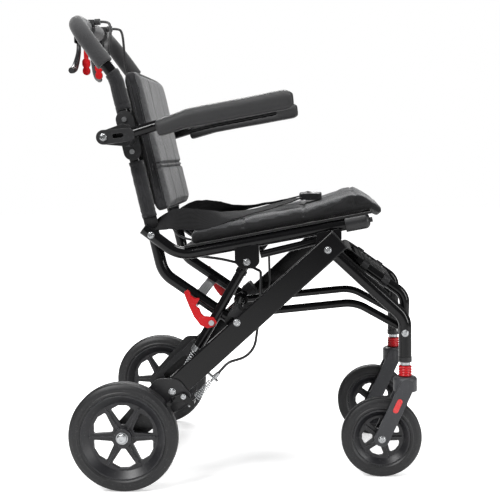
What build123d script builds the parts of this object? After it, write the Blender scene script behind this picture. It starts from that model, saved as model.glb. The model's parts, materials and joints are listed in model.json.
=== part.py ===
from build123d import *
import math
import os

os.makedirs("parts", exist_ok=True)

# A folding travel wheelchair with an attendant's push bar. Millimetres, X forward, Y to the
# chair's left, Z up. Side-view points are (x, z), measured from the rear axle's ground point.
# Everything left of the middle plane is drawn once and mirrored for the right.

# wheels
REAR_WHEEL_R, REAR_TYRE_W, REAR_RIM_R = 100.0, 32.0, 78.0
FRONT_WHEEL_R, FRONT_TYRE_W, FRONT_RIM_R = 75.0, 28.0, 53.0
REAR_Y = 244.0  # middle plane of a rear wheel
REAR_AXLE_D, FRONT_AXLE_D = 12.0, 8.0
REAR_HUB_W, FRONT_HUB_W = 30.0, 26.0
# side-view pivots
BACK_PIVOT = (51.5, 462.0)
SEAT_PIVOT = (373.0, 434.0)
LEG_PIVOT = (514.6, 272.7)
SADDLE_BOLT = (208.0, 304.0)
BRACKET_BOLT = (88.0, 178.0)
STRUT_TOP = (226.0, 411.0)
LATCH_PIVOT = (160.0, 301.0)
ARM_PIVOT = (-21.0, 640.0)
BRAKE_PIVOT = (109.0, 170.0)
BRAKE_LUG = (124.0, 157.0)
BRAKE_SHOE = (86.0, 162.3)
STEM_X, TRAIL = 515.6, 44.6
# lateral planes, each the middle of its part
BEAM_Y, BEAM_DEPTH, BEAM_HEIGHT, BEAM_WALL = 211.5, 21.0, 41.0, 2.0
RAIL_Y, RAIL_D = 187.0, 22.0
BACK_Y, BACK_D = 163.0, 22.0
LEG_Y, LEG_D = 150.0, 24.0
FOOT_Y, FOOT_D = 126.0, 19.0
LINK_Y, LINK_D = 104.0, 15.0
ARM_Y, ARM_W, ARM_TUBE_D = 248.0, 40.0, 19.0
TUBE_WALL = 2.0
CROSS_D, LOWER_CROSS_D = 22.0, 20.0
BOLT_D, HEAD_D, HEAD_H = 8.0, 13.0, 4.5
FIT = 0.05  # running clearance on a radius
SEAT_GAP = 0.3  # clearance beside soft parts
# push bar
BAR = (-88.0, 853.0)
BAR_BEND = (-12.0, 749.0)
KNEE_DROP = 75.8  # from the back pivot down the straight tube to its lower bend
FOAM_D = 32.0
LEVER_Y, HOUSING_W, PIN_D = 60.0, 24.0, 4.0
# caster
CABLE_D = 5.0
STEM_D, CROWN_R, CROWN_TOP, CROWN_LOW = 10.0, 22.0, 190.0, 163.0
LEG_END_Z = 227.0
FORK_T, FORK_GAP = 6.0, 1.5
# upholstery, measured along and ahead of the back tubes from the back pivot
SLEEVE_LOW, SLEEVE_TOP, SLEEVE_T, PANEL_LOW = 32.0, 281.0, 2.5, 52.0
PAD_LOW, PAD_TOP, PAD_T = 34.0, 306.0, 22.0
SEAT_REAR_X, SEAT_FRONT_X, SLING_T, SEAT_PAD_T = 112.0, 452.0, 4.0, 24.0


def unit(a, b):
    length = math.dist(a, b)
    return ((b[0] - a[0]) / length, (b[1] - a[1]) / length)


def along(a, b, distance, side=0.0):
    """The point at a distance from a towards b, and that far to the left of the line."""
    u = unit(a, b)
    return (a[0] + u[0] * distance - u[1] * side, a[1] + u[1] * distance + u[0] * side)


def across(point, y0, y1, diameter):
    """A round bar along Y through a side-view point."""
    bar = Cylinder(diameter / 2, abs(y1 - y0))
    return Pos(point[0], (y0 + y1) / 2, point[1]) * Rot(90, 0, 0) * bar


def rod(a, b, y, diameter):
    """A round bar between two side-view points at one y."""
    u = unit(a, b)
    plane = Plane(origin=(a[0], y, a[1]), z_dir=(u[0], 0, u[1]))
    return extrude(plane * Circle(diameter / 2), math.dist(a, b))


def plate(face, y0, y1):
    """A side-view sketch made solid between two y values."""
    return Pos(0, y0, 0) * extrude(Plane.XZ * face, -(y1 - y0))


def hull(circles):
    """The outline round several (x, z, radius) circles."""
    edges = [e for x, z, r in circles for e in (Pos(x, z) * Circle(r)).edges()]
    return make_hull(edges)


def bar_outline(a, b, ra, rb):
    return hull([(*a, ra), (*b, rb)])


def outline(points, rounding=0.0):
    face = make_face(Polyline(*points, close=True))
    return fillet(face.vertices(), rounding) if rounding else face


def run(points, radii):
    """A path through 3-D points with an arc of its own radius at each inner one."""
    return FilletPolyline(*points, radius=radii) if radii else Polyline(*points)


def solid_run(points, radii, diameter):
    path = run(points, radii)
    start = Plane(origin=path @ 0, z_dir=path % 0)
    return sweep(start * Circle(diameter / 2), path=path)


def tube_run(points, radii, diameter, bore):
    return solid_run(points, radii, diameter) - solid_run(points, radii, bore)


def at_y(points, y):
    return [(x, y, z) for x, z in points]


def dome_bolt(point, y, length, diameter=BOLT_D, head=HEAD_D, height=HEAD_H):
    """A bolt along Y with its washer and domed head standing outward from y."""
    shank = across(point, y, y - length, diameter)
    washer = across(point, y, y + 1.2, head)
    dome = across(point, y + 1.2, y + height, head * 0.86)
    dome = fillet(dome.edges().sort_by(Axis.Y)[-1], (height - 1.2) * 0.6)
    socket = across(point, y + height - 1.6, y + height + 1, head * 0.34)
    return shank + washer + dome - socket


def mirrored(part):
    return mirror(part, about=Plane.XZ)


def pair(part):
    return [part, mirrored(part)]


def both(name, part):
    return {name + "_left": [part], name + "_right": [mirrored(part)]}


nodes = {}
REAR_AXLE = (0.0, REAR_WHEEL_R)
FRONT_AXLE = (STEM_X - TRAIL, FRONT_WHEEL_R)
BEAM_IN = BEAM_Y - BEAM_DEPTH / 2
BEAM_OUT = BEAM_Y + BEAM_DEPTH / 2
KNEE = along(BACK_PIVOT, BAR_BEND, -KNEE_DROP)
# the front legs, the links and the lower back tubes form a parallelogram
BACK_END = (
    BACK_PIVOT[0] + LEG_PIVOT[0] - SEAT_PIVOT[0],
    BACK_PIVOT[1] + LEG_PIVOT[1] - SEAT_PIVOT[1],
)


# ---- wheels ---------------------------------------------------------------------------
def wheel_rim(axle, y, rim_r, hub_r, hub_w, rim_w, web_t, dish_r, spokes, bore):
    """Hub, spoked web, and the dished ring that carries the tyre."""
    lip = rim_r - 2.5
    profile = [
        (hub_r - 2, -web_t / 2), (dish_r, -web_t / 2), (lip, -rim_w / 2), (rim_r, -rim_w / 2),
        (rim_r, rim_w / 2), (lip, rim_w / 2), (dish_r, web_t / 2), (hub_r - 2, web_t / 2),
    ]
    ring = revolve(Plane.XZ * make_face(Polyline(*profile, close=True)), Axis.Z)
    hub = Cylinder(hub_r, hub_w)
    half = math.pi / spokes
    far = dish_r - 5
    wide = far * math.sin(half) - 6.5
    window = outline(
        [(hub_r + 5, 3.5), (far * 0.86, wide), (far, wide * 0.35), (far, -wide * 0.35),
         (far * 0.86, -wide), (hub_r + 5, -3.5)],
        3.0,
    )
    body = ring + hub
    for i in range(spokes):
        turn = 360 / spokes * i
        cut = extrude(Rot(0, 0, turn + 180 / spokes) * Pos(0, 0, -20) * window, 40)
        rib = Rot(0, 0, turn) * Pos((hub_r + far) / 2, 0, 0) * Box(
            far - hub_r + 4, 3.2, web_t + 7
        )
        body = body - cut + rib
    body -= Cylinder(bore / 2 + FIT, hub_w + 2)
    return Pos(axle[0], y, axle[1]) * Rot(90, 0, 0) * body


def wheel_tyre(axle, y, outer_r, rim_r, width):
    half, deep = width / 2, outer_r - rim_r
    profile = [
        (rim_r + FIT, -half + 1.5), (rim_r + deep * 0.3, -half), (outer_r - deep * 0.22, -half + 0.6),
        (outer_r, -half * 0.55), (outer_r, half * 0.55), (outer_r - deep * 0.22, half - 0.6),
        (rim_r + deep * 0.3, half), (rim_r + FIT, half - 1.5),
    ]
    face = make_face(Polyline(*profile, close=True))
    tyre = revolve(Plane.XZ * face, Axis.Z)
    return Pos(axle[0], y, axle[1]) * Rot(90, 0, 0) * tyre


nodes |= both("rear_rim", wheel_rim(
    REAR_AXLE, REAR_Y, REAR_RIM_R, 17, REAR_HUB_W, 28, 8, 63, 6, REAR_AXLE_D))
nodes |= both("rear_tyre", wheel_tyre(
    REAR_AXLE, REAR_Y, REAR_WHEEL_R, REAR_RIM_R, REAR_TYRE_W))
nodes |= both("front_rim", wheel_rim(
    FRONT_AXLE, LEG_Y, FRONT_RIM_R, 12, FRONT_HUB_W, 24, 7, 41, 5, FRONT_AXLE_D))
nodes |= both("front_tyre", wheel_tyre(
    FRONT_AXLE, LEG_Y, FRONT_WHEEL_R, FRONT_RIM_R, FRONT_TYRE_W))

# ---- side beams, lower brackets and rear axle ------------------------------------------
BEAM_TOP = along(SEAT_PIVOT, REAR_AXLE, -27.0)
BEAM_LOW = along(SEAT_PIVOT, REAR_AXLE, math.dist(SEAT_PIVOT, REAR_AXLE) - 127.0)


def beam_box(height, depth, grow=0.0):
    u = unit(BEAM_LOW, BEAM_TOP)
    plane = Plane(
        origin=(BEAM_LOW[0] - u[0] * grow, BEAM_Y, BEAM_LOW[1] - u[1] * grow),
        x_dir=(0, 1, 0), z_dir=(u[0], 0, u[1]),
    )
    face = RectangleRounded(depth, height, 2.5)
    return extrude(plane * face, math.dist(BEAM_LOW, BEAM_TOP) + 2 * grow)


beam = beam_box(BEAM_HEIGHT, BEAM_DEPTH)
beam -= beam_box(BEAM_HEIGHT - 2 * BEAM_WALL - 1, BEAM_DEPTH - 2 * BEAM_WALL, 1.0)
for bolt in (SEAT_PIVOT, SADDLE_BOLT):
    beam -= across(bolt, BEAM_IN - 1, BEAM_OUT + 1, BOLT_D + 2 * FIT)
nodes["beams"] = pair(beam)

cap_in = along(BEAM_TOP, BEAM_LOW, 10.0)
u = unit(BEAM_LOW, BEAM_TOP)
cap_plane = Plane(origin=(cap_in[0], BEAM_Y, cap_in[1]), x_dir=(0, 1, 0), z_dir=(u[0], 0, u[1]))
beam_cap = extrude(
    cap_plane
    * RectangleRounded(BEAM_DEPTH - 2 * BEAM_WALL - 0.2, BEAM_HEIGHT - 2 * BEAM_WALL - 1.2, 2.2),
    10.0,
)
beam_cap += Pos(BEAM_TOP[0] - cap_in[0], 0, BEAM_TOP[1] - cap_in[1]) * extrude(
    cap_plane * RectangleRounded(BEAM_DEPTH, BEAM_HEIGHT, 2.5), 2.0
)
nodes["end_caps"] = pair(beam_cap)

bracket_face = hull([
    (*BRACKET_BOLT, 24.0), (*REAR_AXLE, 24.0), (*BRAKE_PIVOT, 12.0),
    (BRACKET_BOLT[0] - 20, BRACKET_BOLT[1] + 6, 18.0),
])
bracket = plate(bracket_face, BEAM_OUT + 0.2, BEAM_OUT + 3.6)
core_face = hull([(*BRACKET_BOLT, 20.0), (*REAR_AXLE, 20.0)])
core = plate(core_face, BEAM_IN + 3.0, BEAM_OUT + 0.4)
core -= beam_box(BEAM_HEIGHT + 0.4, BEAM_DEPTH + 2, 0.2)
for start, end in ((26, 48), (56, 78)):
    a = along(REAR_AXLE, BRACKET_BOLT, start)
    b = along(REAR_AXLE, BRACKET_BOLT, end)
    core -= plate(bar_outline(a, b, 9, 9), BEAM_IN - 1, BEAM_OUT - 2)
bracket += core
bracket -= across(REAR_AXLE, BEAM_IN, BEAM_OUT + 5, REAR_AXLE_D + 2 * FIT)
bracket -= across(BRACKET_BOLT, BEAM_IN, BEAM_OUT + 5, BOLT_D + 2 * FIT)
bracket -= across(BRAKE_PIVOT, BEAM_IN, BEAM_OUT + 5, 6.0 + 2 * FIT)
nodes["rear_brackets"] = pair(bracket)

AXLE_TUBE_END = BEAM_IN + 2.8
axle_tube = across(REAR_AXLE, -AXLE_TUBE_END, AXLE_TUBE_END, CROSS_D)
axle_tube -= across(REAR_AXLE, -AXLE_TUBE_END - 1, AXLE_TUBE_END + 1, REAR_AXLE_D + 2 * FIT)
nodes["cross_tubes"] = [axle_tube]
hub_out = REAR_Y + REAR_HUB_W / 2
axle_bolt = dome_bolt(REAR_AXLE, hub_out + 0.5, hub_out + 0.5 - BEAM_IN + 20, REAR_AXLE_D, 22.0, 7.0)
nodes["rear_axle_bolts"] = pair(axle_bolt)
spacer = across(REAR_AXLE, BEAM_OUT + 3.7, REAR_Y - REAR_HUB_W / 2 - 0.3, 20.0)
spacer -= across(REAR_AXLE, BEAM_OUT, REAR_Y, REAR_AXLE_D + 2 * FIT)
nodes["rear_axle_bolts"] += pair(spacer)

# ---- front cross tube that everything at the seat's front turns on ----------------------
cross = across(SEAT_PIVOT, -BEAM_IN, BEAM_IN, CROSS_D)
cross -= across(SEAT_PIVOT, -BEAM_IN - 1, BEAM_IN + 1, CROSS_D - 2 * TUBE_WALL)
nodes["cross_tubes"] += [cross]

# ---- seat rails with their brackets -----------------------------------------------------
RAIL_BEND = (101.0, 424.0)
RAIL_FRONT = (405.0, 477.4)
rail_tail = along(BACK_PIVOT, RAIL_BEND, -19.0)
rail_points = at_y([rail_tail, RAIL_BEND, RAIL_FRONT], RAIL_Y)
rail = tube_run(rail_points, [60.0], RAIL_D, RAIL_D - 2 * TUBE_WALL)
rail -= across(BACK_PIVOT, RAIL_Y - 20, RAIL_Y + 20, BOLT_D + 2 * FIT)
nodes["seat_rails"] = pair(rail)


def rail_z(x):
    """Height of the rail's axis on its straight front part."""
    u = unit(RAIL_BEND, RAIL_FRONT)
    return RAIL_BEND[1] + (x - RAIL_BEND[0]) * u[1] / u[0]


tip = along(RAIL_FRONT, RAIL_BEND, -45.0)
end_cap = rod(along(RAIL_FRONT, RAIL_BEND, -0.2), tip, RAIL_Y, 29.0)
end_cap = fillet(end_cap.edges().sort_by(Axis.X)[-1], 9.0)
end_cap += rod(along(RAIL_FRONT, RAIL_BEND, 16.0), RAIL_FRONT, RAIL_Y, RAIL_D - 2 * TUBE_WALL - 0.2)
end_cap += rod(RAIL_FRONT, along(tip, RAIL_FRONT, -5.0), RAIL_Y, 9.0)
nodes["end_caps"] += pair(end_cap)

lower_a, lower_b = (250.4, rail_z(250.4) - 26.5), (350.4, rail_z(350.4) - 21.0)
lower_rail = rod(lower_a, lower_b, RAIL_Y, 14.0) - rod(lower_a, lower_b, RAIL_Y, 10.0)
nodes["rail_brackets"] = pair(lower_rail)

strut_bracket_face = outline([
    (204, rail_z(204) - 5), (248, rail_z(248) - 5), (248, 408), (240, 399), (214, 399), (204, 410),
], 4.0)
rail_clear = solid_run(rail_points, [60.0], RAIL_D + 0.2)
cheek = plate(strut_bracket_face, RAIL_Y - 10, RAIL_Y + 10) - rail_clear
cheek -= plate(outline([(200, 424), (244.8, 426), (244.8, 380), (200, 380)]),
               RAIL_Y - 6.2, RAIL_Y + 6.2)
cheek -= across(STRUT_TOP, RAIL_Y - 12, RAIL_Y + 12, BOLT_D + 2 * FIT)
nodes["rail_brackets"] += pair(cheek)

front_bracket_face = outline([
    (352.5, rail_z(352) - 5), (398, rail_z(398) - 5), (398, 452), (386, 420), (362, 420),
    (352.5, 440),
], 4.0)
front_bracket = plate(front_bracket_face, RAIL_Y - 10, BEAM_IN - 0.2) - rail_clear
front_bracket -= across(SEAT_PIVOT, RAIL_Y - 12, BEAM_IN + 2, CROSS_D + 0.2)
nodes["rail_brackets"] += pair(front_bracket)

# ---- struts -----------------------------------------------------------------------------
STRUT_LEN = math.dist(STRUT_TOP, BRACKET_BOLT)
strut = lambda d: along(STRUT_TOP, BRACKET_BOLT, d)
upper_rod = across(STRUT_TOP, RAIL_Y - 6, RAIL_Y + 6, 18.0) + rod(STRUT_TOP, strut(40), RAIL_Y, 12)
upper_rod -= across(STRUT_TOP, RAIL_Y - 7, RAIL_Y + 7, BOLT_D + 2 * FIT)
nodes["struts"] = pair(upper_rod)
strut_tube = rod(strut(18), strut(182), RAIL_Y, 18.0) + rod(strut(17), strut(25), RAIL_Y, 21.0)
strut_tube -= rod(strut(10), strut(190), RAIL_Y, 12.2)
nodes["struts"] += pair(strut_tube)
strut_cap = rod(strut(182.2), strut(192), RAIL_Y, 20.0) - rod(strut(180), strut(200), RAIL_Y, 8.2)
nodes["zinc_fittings"] = pair(strut_cap)
lower_rod = rod(strut(170), BRACKET_BOLT, RAIL_Y, 8.0)
lower_rod += across(BRACKET_BOLT, RAIL_Y - 6, RAIL_Y + 6, 18.0)
lower_rod -= across(BRACKET_BOLT, RAIL_Y - 7, RAIL_Y + 7, BOLT_D + 2 * FIT)
nodes["struts"] += pair(lower_rod)


def coil(start, end, y, radius, wire, pitch, cone=0.0):
    """A coil spring between two side-view points."""
    u = unit(start, end)
    height = math.dist(start, end)
    helix = Helix(pitch, height, radius, cone_angle=cone)
    section = Plane(origin=helix @ 0, z_dir=helix % 0) * Circle(wire / 2)
    spring = sweep(section, path=helix, is_frenet=True)
    plane = Plane(origin=(start[0], y, start[1]), z_dir=(u[0], 0, u[1]))
    return plane.location * spring


nodes["springs"] = pair(coil(strut(194), strut(258), RAIL_Y, 6.0, 2.4, 5.2))

# ---- bolts of the frame -----------------------------------------------------------------
frame_bolts = [
    dome_bolt(SEAT_PIVOT, BEAM_OUT, 40),
    dome_bolt(SADDLE_BOLT, BEAM_OUT, 36),
    dome_bolt(BRACKET_BOLT, BEAM_OUT + 3.6, BEAM_OUT + 3.6 - RAIL_Y + 9),
    dome_bolt(BACK_PIVOT, RAIL_Y + RAIL_D / 2, RAIL_Y + RAIL_D / 2 - BACK_Y + BACK_D / 2 + 5),
    dome_bolt(STRUT_TOP, RAIL_Y + 10, 21),
    dome_bolt(BRAKE_PIVOT, BEAM_OUT + 9.2, 8.6, 6.0, 10.0, 3.0),
]
nodes["frame_bolts"] = [m for b in frame_bolts for m in pair(b)]
shoe_space = across(BACK_END, BACK_Y - 20, BACK_Y + 60, BACK_D + 1.2)
block_mid = along(SADDLE_BOLT, SEAT_PIVOT, 4.0, 7.0)
v = unit(SADDLE_BOLT, SEAT_PIVOT)
block_plane = Plane(
    origin=(block_mid[0], BACK_Y - BACK_D / 2, block_mid[1]), x_dir=(v[0], 0, v[1]), z_dir=(0, 1, 0)
)
block = extrude(block_plane * RectangleRounded(24, 28, 3), BEAM_IN - 0.1 - (BACK_Y - BACK_D / 2))
block -= shoe_space + rod(BACK_END, KNEE, BACK_Y, BACK_D + 1.2)
block -= across(SADDLE_BOLT, BEAM_OUT - 37.5, BEAM_OUT, BOLT_D + 2 * FIT)
nodes["end_caps"] += pair(block)

# ---- folding back frame -----------------------------------------------------------------
back_side = [BACK_END, KNEE, BAR_BEND, BAR]
back_points = at_y(back_side, BACK_Y) + at_y(back_side[::-1], -BACK_Y)
back_radii = [50.0, 60.0, 45.0, 45.0, 60.0, 50.0]
back_tube = tube_run(back_points, back_radii, BACK_D, BACK_D - 2 * TUBE_WALL)
for side in (1, -1):
    ring = across(BACK_END, side * (BACK_Y - 11), side * (BACK_Y + 11), BACK_D)
    back_tube += ring
    back_tube -= across(BACK_PIVOT, side * 140, side * 180, BOLT_D + 2 * FIT)
back_tube += across(BACK_END, -BACK_Y, BACK_Y, LOWER_CROSS_D)
nodes["back_tube"] = [back_tube]
PLATE_AT = along(BACK_END, KNEE, 75.0)
w = unit(BACK_END, KNEE)
plate_plane = Plane(
    origin=(PLATE_AT[0], 0, PLATE_AT[1]), x_dir=(w[0], 0, w[1]), z_dir=(-w[1], 0, w[0])
)
cross_plate = extrude(
    plate_plane * Rectangle(20, 2 * (BACK_Y + 9)), BACK_D / 2 + 3.2
) - extrude(plate_plane * Rectangle(22, 2 * BACK_Y + 20), BACK_D / 2 + 0.2)
nodes["back_cross_plate"] = [cross_plate]

foam_start = along(BAR_BEND, BAR, 24.0)
housing_edge = HOUSING_W / 2 + 0.5
foam_side = [(foam_start[0], BACK_Y, foam_start[1]), (BAR[0], BACK_Y, BAR[1]),
             (BAR[0], LEVER_Y + housing_edge, BAR[1])]
foam = tube_run(foam_side, [45.0], FOAM_D, BACK_D + 2 * SEAT_GAP)
middle = LEVER_Y - housing_edge
foam_mid = across(BAR, -middle, middle, FOAM_D) - across(BAR, -middle - 1, middle + 1, BACK_D + 0.6)
nodes["grip_foam"] = [*pair(foam), foam_mid]

# ---- attendant's brake levers -----------------------------------------------------------
LEVER_X, LEVER_T, LEVER_Z = BAR[0] - 13.5, 8.0, BAR[1] - 20.0
TAB_X, TAB_Z = BAR[0], BAR[1] - 25.0
housing = across(BAR, LEVER_Y - HOUSING_W / 2, LEVER_Y + HOUSING_W / 2, 31.0)
shell = Pos(BAR[0] - 5, LEVER_Y, BAR[1] - 20) * Box(30, HOUSING_W, 20)
housing += fillet(shell.edges().filter_by(Axis.Y), 3.0)
housing += Pos(BAR[0] + 12, LEVER_Y, BAR[1] + 8) * Box(12, 12, 14)
housing -= across(BAR, LEVER_Y - 20, LEVER_Y + 20, BACK_D + 2 * FIT)
lever_slot = Pos(LEVER_X, LEVER_Y + 6, LEVER_Z - 6) * Box(LEVER_T + 1, 40, 24)
tab_slot = Pos(TAB_X, LEVER_Y, TAB_Z - 6) * Box(20, 8, 22)
lever_pin = Pos(LEVER_X, LEVER_Y, LEVER_Z) * Rot(0, 90, 0)
housing = housing - lever_slot - tab_slot
housing -= lever_pin * Cylinder(PIN_D / 2 + FIT, 14)
housing -= across((TAB_X, TAB_Z), LEVER_Y - 20, LEVER_Y + 20, PIN_D + 2 * FIT)
nodes["brake_housings"] = pair(housing)
nodes["back_bolts"] = pair(lever_pin * Cylinder(PIN_D / 2, 13))
nodes["back_bolts"] += pair(
    across((TAB_X, TAB_Z), LEVER_Y - HOUSING_W / 2, LEVER_Y + HOUSING_W / 2, PIN_D)
)
lever_face = hull([(LEVER_Y, LEVER_Z, 5.5), (LEVER_Y + 4, LEVER_Z - 26, 5.0)])
lever_mid = hull([(LEVER_Y + 4, LEVER_Z - 26, 5.0), (LEVER_Y + 32, LEVER_Z - 56, 4.5)])
lever_low = hull([(LEVER_Y + 32, LEVER_Z - 56, 4.5), (LEVER_Y + 66, LEVER_Z - 66, 4.0)])
yz = Plane(origin=(LEVER_X - LEVER_T / 2, 0, 0), x_dir=(0, 1, 0), z_dir=(1, 0, 0))
lever = extrude(yz * lever_face, LEVER_T)
lever += extrude(yz * lever_mid, LEVER_T) + extrude(yz * lever_low, LEVER_T)
lever += Pos(LEVER_X, LEVER_Y + 68, LEVER_Z - 66) * Sphere(7.0)
lever -= lever_pin * Cylinder(PIN_D / 2 + FIT, 30)
nodes |= both("brake_lever", lever)
tab_neck = bar_outline((TAB_X, TAB_Z), (TAB_X, TAB_Z - 34), 4.0, 4.0)
tab_face = hull([(TAB_X, TAB_Z - 40, 7.5), (TAB_X, TAB_Z - 44, 7.5)])
tab_foot = hull([(TAB_X, TAB_Z - 56, 7.0), (TAB_X, TAB_Z - 58, 7.0)])
tab = plate(tab_neck, LEVER_Y - 3, LEVER_Y + 3) + plate(tab_face, LEVER_Y - 3.5, LEVER_Y + 3.5)
tab += plate(tab_foot, LEVER_Y - 3.5, LEVER_Y + 3.5)
tab += plate(bar_outline((TAB_X, TAB_Z - 42), (TAB_X, TAB_Z - 56), 5, 5), LEVER_Y - 3, LEVER_Y + 3)
tab -= across((TAB_X, TAB_Z), LEVER_Y - 5, LEVER_Y + 5, PIN_D + 2 * FIT)
nodes |= both("lock_tab", tab)
ADJUSTER = (BAR[0] + 18.2, LEVER_Y, BAR[1] + 11.0)
adjuster = Pos(ADJUSTER[0] + 6, ADJUSTER[1], ADJUSTER[2]) * Rot(0, 90, 0) * (
    Cylinder(4.0, 12) + Pos(0, 0, -3) * Cylinder(5.2, 4)
)
nodes["back_bolts"] += pair(adjuster)

# ---- armrests ---------------------------------------------------------------------------
ARM_IN = ARM_Y - ARM_W / 2
CLAMP_OUT = ARM_IN - 0.6
tube_dir = unit(KNEE, BAR_BEND)


def on_back(s, ahead=0.0):
    """A side-view point s up the back tube from its pivot, and ahead of its axis."""
    return (BACK_PIVOT[0] + tube_dir[0] * s + tube_dir[1] * ahead,
            BACK_PIVOT[1] + tube_dir[1] * s - tube_dir[0] * ahead)


CLAMP_S, CLAMP_R = 186.0, 16.0
clamp_low, clamp_top = on_back(CLAMP_S - 30), on_back(CLAMP_S + 30)
arm_clamp = plate(
    bar_outline(clamp_low, clamp_top, CLAMP_R, CLAMP_R), BACK_Y - CLAMP_R + 1, BACK_Y + CLAMP_R + 1
)
arm_clamp += plate(
    hull([(*on_back(CLAMP_S - 8), 12), (*ARM_PIVOT, 13), (*on_back(CLAMP_S + 8), 12)]),
    BACK_Y + 12, CLAMP_OUT,
)
arm_clamp -= rod(on_back(CLAMP_S - 80), on_back(CLAMP_S + 80), BACK_Y, BACK_D + 2 * FIT)
arm_clamp -= across(ARM_PIVOT, BACK_Y, ARM_IN + 5, BOLT_D + 2 * FIT)
nodes["arm_clamps"] = pair(arm_clamp)
nodes["back_bolts"] += [
    m for p in (clamp_low, clamp_top)
    for m in pair(across(p, BACK_Y + CLAMP_R + 1.1, BACK_Y + CLAMP_R + 4, 9.0))
]
KNUCKLE_OUT = ARM_IN + 22.0
knuckle = plate(
    hull([(*ARM_PIVOT, 13.0), (ARM_PIVOT[0] + 44, ARM_PIVOT[1] + 4, 11.5)]), ARM_IN, KNUCKLE_OUT
)
slot_at = (ARM_PIVOT[0] + 24, ARM_PIVOT[1] + 2)
knuckle -= plate(
    bar_outline((slot_at[0] - 4, slot_at[1]), (slot_at[0] + 8, slot_at[1] + 1), 4, 4),
    ARM_IN - 1, KNUCKLE_OUT + 1,
)
knuckle -= across(ARM_PIVOT, ARM_IN - 1, KNUCKLE_OUT + 1, BOLT_D + 2 * FIT)
tube_y = ARM_IN + 11.0
tube_a, tube_b = (ARM_PIVOT[0] + 40, ARM_PIVOT[1] + 4), (ARM_PIVOT[0] + 98, ARM_PIVOT[1] + 21)
tube_c = (ARM_PIVOT[0] + 292, ARM_PIVOT[1] + 56)
arm_points = at_y([tube_a, tube_b, tube_c], tube_y)
knuckle -= solid_run(arm_points, [70.0], ARM_TUBE_D + 0.1)
nodes |= both("arm_knuckle", knuckle)
arm_tube = tube_run(arm_points, [70.0], ARM_TUBE_D, ARM_TUBE_D - 3)
nodes |= both("arm_tube", arm_tube)
pad_face = outline([
    (72, 668), (128, 688), (300, 718), (314, 712), (316, 690), (308, 684), (132, 655), (78, 640),
], 3.5)
arm_pad = plate(pad_face, ARM_IN, ARM_IN + ARM_W)
arm_pad = fillet(arm_pad.edges().filter_by(Axis.Y, reverse=True).group_by(Axis.Y)[-1], 5.0)
arm_pad -= solid_run(at_y([tube_a, tube_b, tube_c], tube_y), [70.0], ARM_TUBE_D + 0.6)
nodes |= both("arm_pad", arm_pad)
arm_bolt = dome_bolt(ARM_PIVOT, KNUCKLE_OUT + 0.3, KNUCKLE_OUT - BACK_Y - 10, BOLT_D, 14.0, 5.0)
nodes["back_bolts"] += pair(arm_bolt)

# ---- front legs and casters -------------------------------------------------------------
leg_side = [SEAT_PIVOT, (STEM_X, 299.0), (STEM_X, LEG_END_Z)]
leg = tube_run(at_y(leg_side, LEG_Y), [38.0], LEG_D, LEG_D - 2 * TUBE_WALL)
leg += across(SEAT_PIVOT, LEG_Y - 13, LEG_Y + 13, 34.0)
leg -= across(SEAT_PIVOT, LEG_Y - 14, LEG_Y + 14, CROSS_D + 2 * FIT)
leg -= across(LEG_PIVOT, LEG_Y - 20, LEG_Y + 20, BOLT_D + 2 * FIT)
nodes["front_legs"] = pair(leg)
leg_bolt = dome_bolt(LEG_PIVOT, LEG_Y + LEG_D / 2, LEG_Y + LEG_D / 2 - LINK_Y + LINK_D / 2 + 6)
leg_bolt += across(LEG_PIVOT, LINK_Y - 14.5, LINK_Y - 9.5, 13.0)
nodes["leg_bolts"] = pair(leg_bolt)


def stem_part(z0, z1, diameter, bore=0.0):
    part = Pos(STEM_X, LEG_Y, (z0 + z1) / 2) * Cylinder(diameter / 2, z1 - z0)
    if bore:
        part -= Pos(STEM_X, LEG_Y, (z0 + z1) / 2) * Cylinder(bore / 2, z1 - z0 + 2)
    return part


stem_cap = stem_part(217.5, LEG_END_Z - 0.1, 25.0) + stem_part(226, 250, LEG_D - 2 * TUBE_WALL - 0.2)
stem_cap -= stem_part(200, 260, STEM_D + 2 * FIT)
nodes["stem_bushes"] = pair(stem_cap)
nodes["leg_bolts"] += pair(stem_part(211.8, 217.3, 19.0, STEM_D + 2 * FIT))
coils, step = 4, 5.0
boot_profile = [(6.0, CROWN_TOP + 0.4)]
for i in range(coils):
    z = CROWN_TOP + 0.4 + i * step
    boot_profile += [(10.5, z), (12.5, z + step * 0.3), (12.5, z + step * 0.7)]
boot_profile += [(10.5, CROWN_TOP + 0.4 + coils * step), (6.0, CROWN_TOP + 0.4 + coils * step)]
boot = Pos(STEM_X, LEG_Y, 0) * revolve(Plane.XZ * outline(boot_profile), Axis.Z)
nodes["stem_boots"] = pair(boot)

fork_low = FRONT_TYRE_W / 2 + FORK_GAP
crown = stem_part(CROWN_LOW, CROWN_TOP, 2 * CROWN_R)
crown = fillet(crown.edges().sort_by(Axis.Z)[-1], 6.0)
fork = crown
leg_plate = bar_outline((STEM_X + 1.5, 174.0), FRONT_AXLE, 13.5, 14.0)
for side in (1, -1):
    y0 = LEG_Y + side * fork_low
    y1 = LEG_Y + side * (fork_low + FORK_T)
    fork += plate(leg_plate, min(y0, y1), max(y0, y1))
fork += stem_part(CROWN_TOP - 1, 246.0, STEM_D)
fork -= across(FRONT_AXLE, LEG_Y - 40, LEG_Y + 40, FRONT_AXLE_D + 2 * FIT)
fork_out = LEG_Y + fork_low + FORK_T
ref_a = along((STEM_X + 1.5, 174.0), FRONT_AXLE, 31.0)
ref_b = along((STEM_X + 1.5, 174.0), FRONT_AXLE, 49.0)
reflector_face = bar_outline(ref_a, ref_b, 5, 5)
fork -= plate(bar_outline(ref_a, ref_b, 5.1, 5.1), fork_out - 1.5, fork_out + 1)
nodes |= both("caster_fork", fork)
nodes |= both("reflector", plate(reflector_face, fork_out - 1.5, fork_out + 0.8))
caster_axle = dome_bolt(FRONT_AXLE, fork_out, 2 * (fork_low + FORK_T), FRONT_AXLE_D, 14.0, 4.5)
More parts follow.
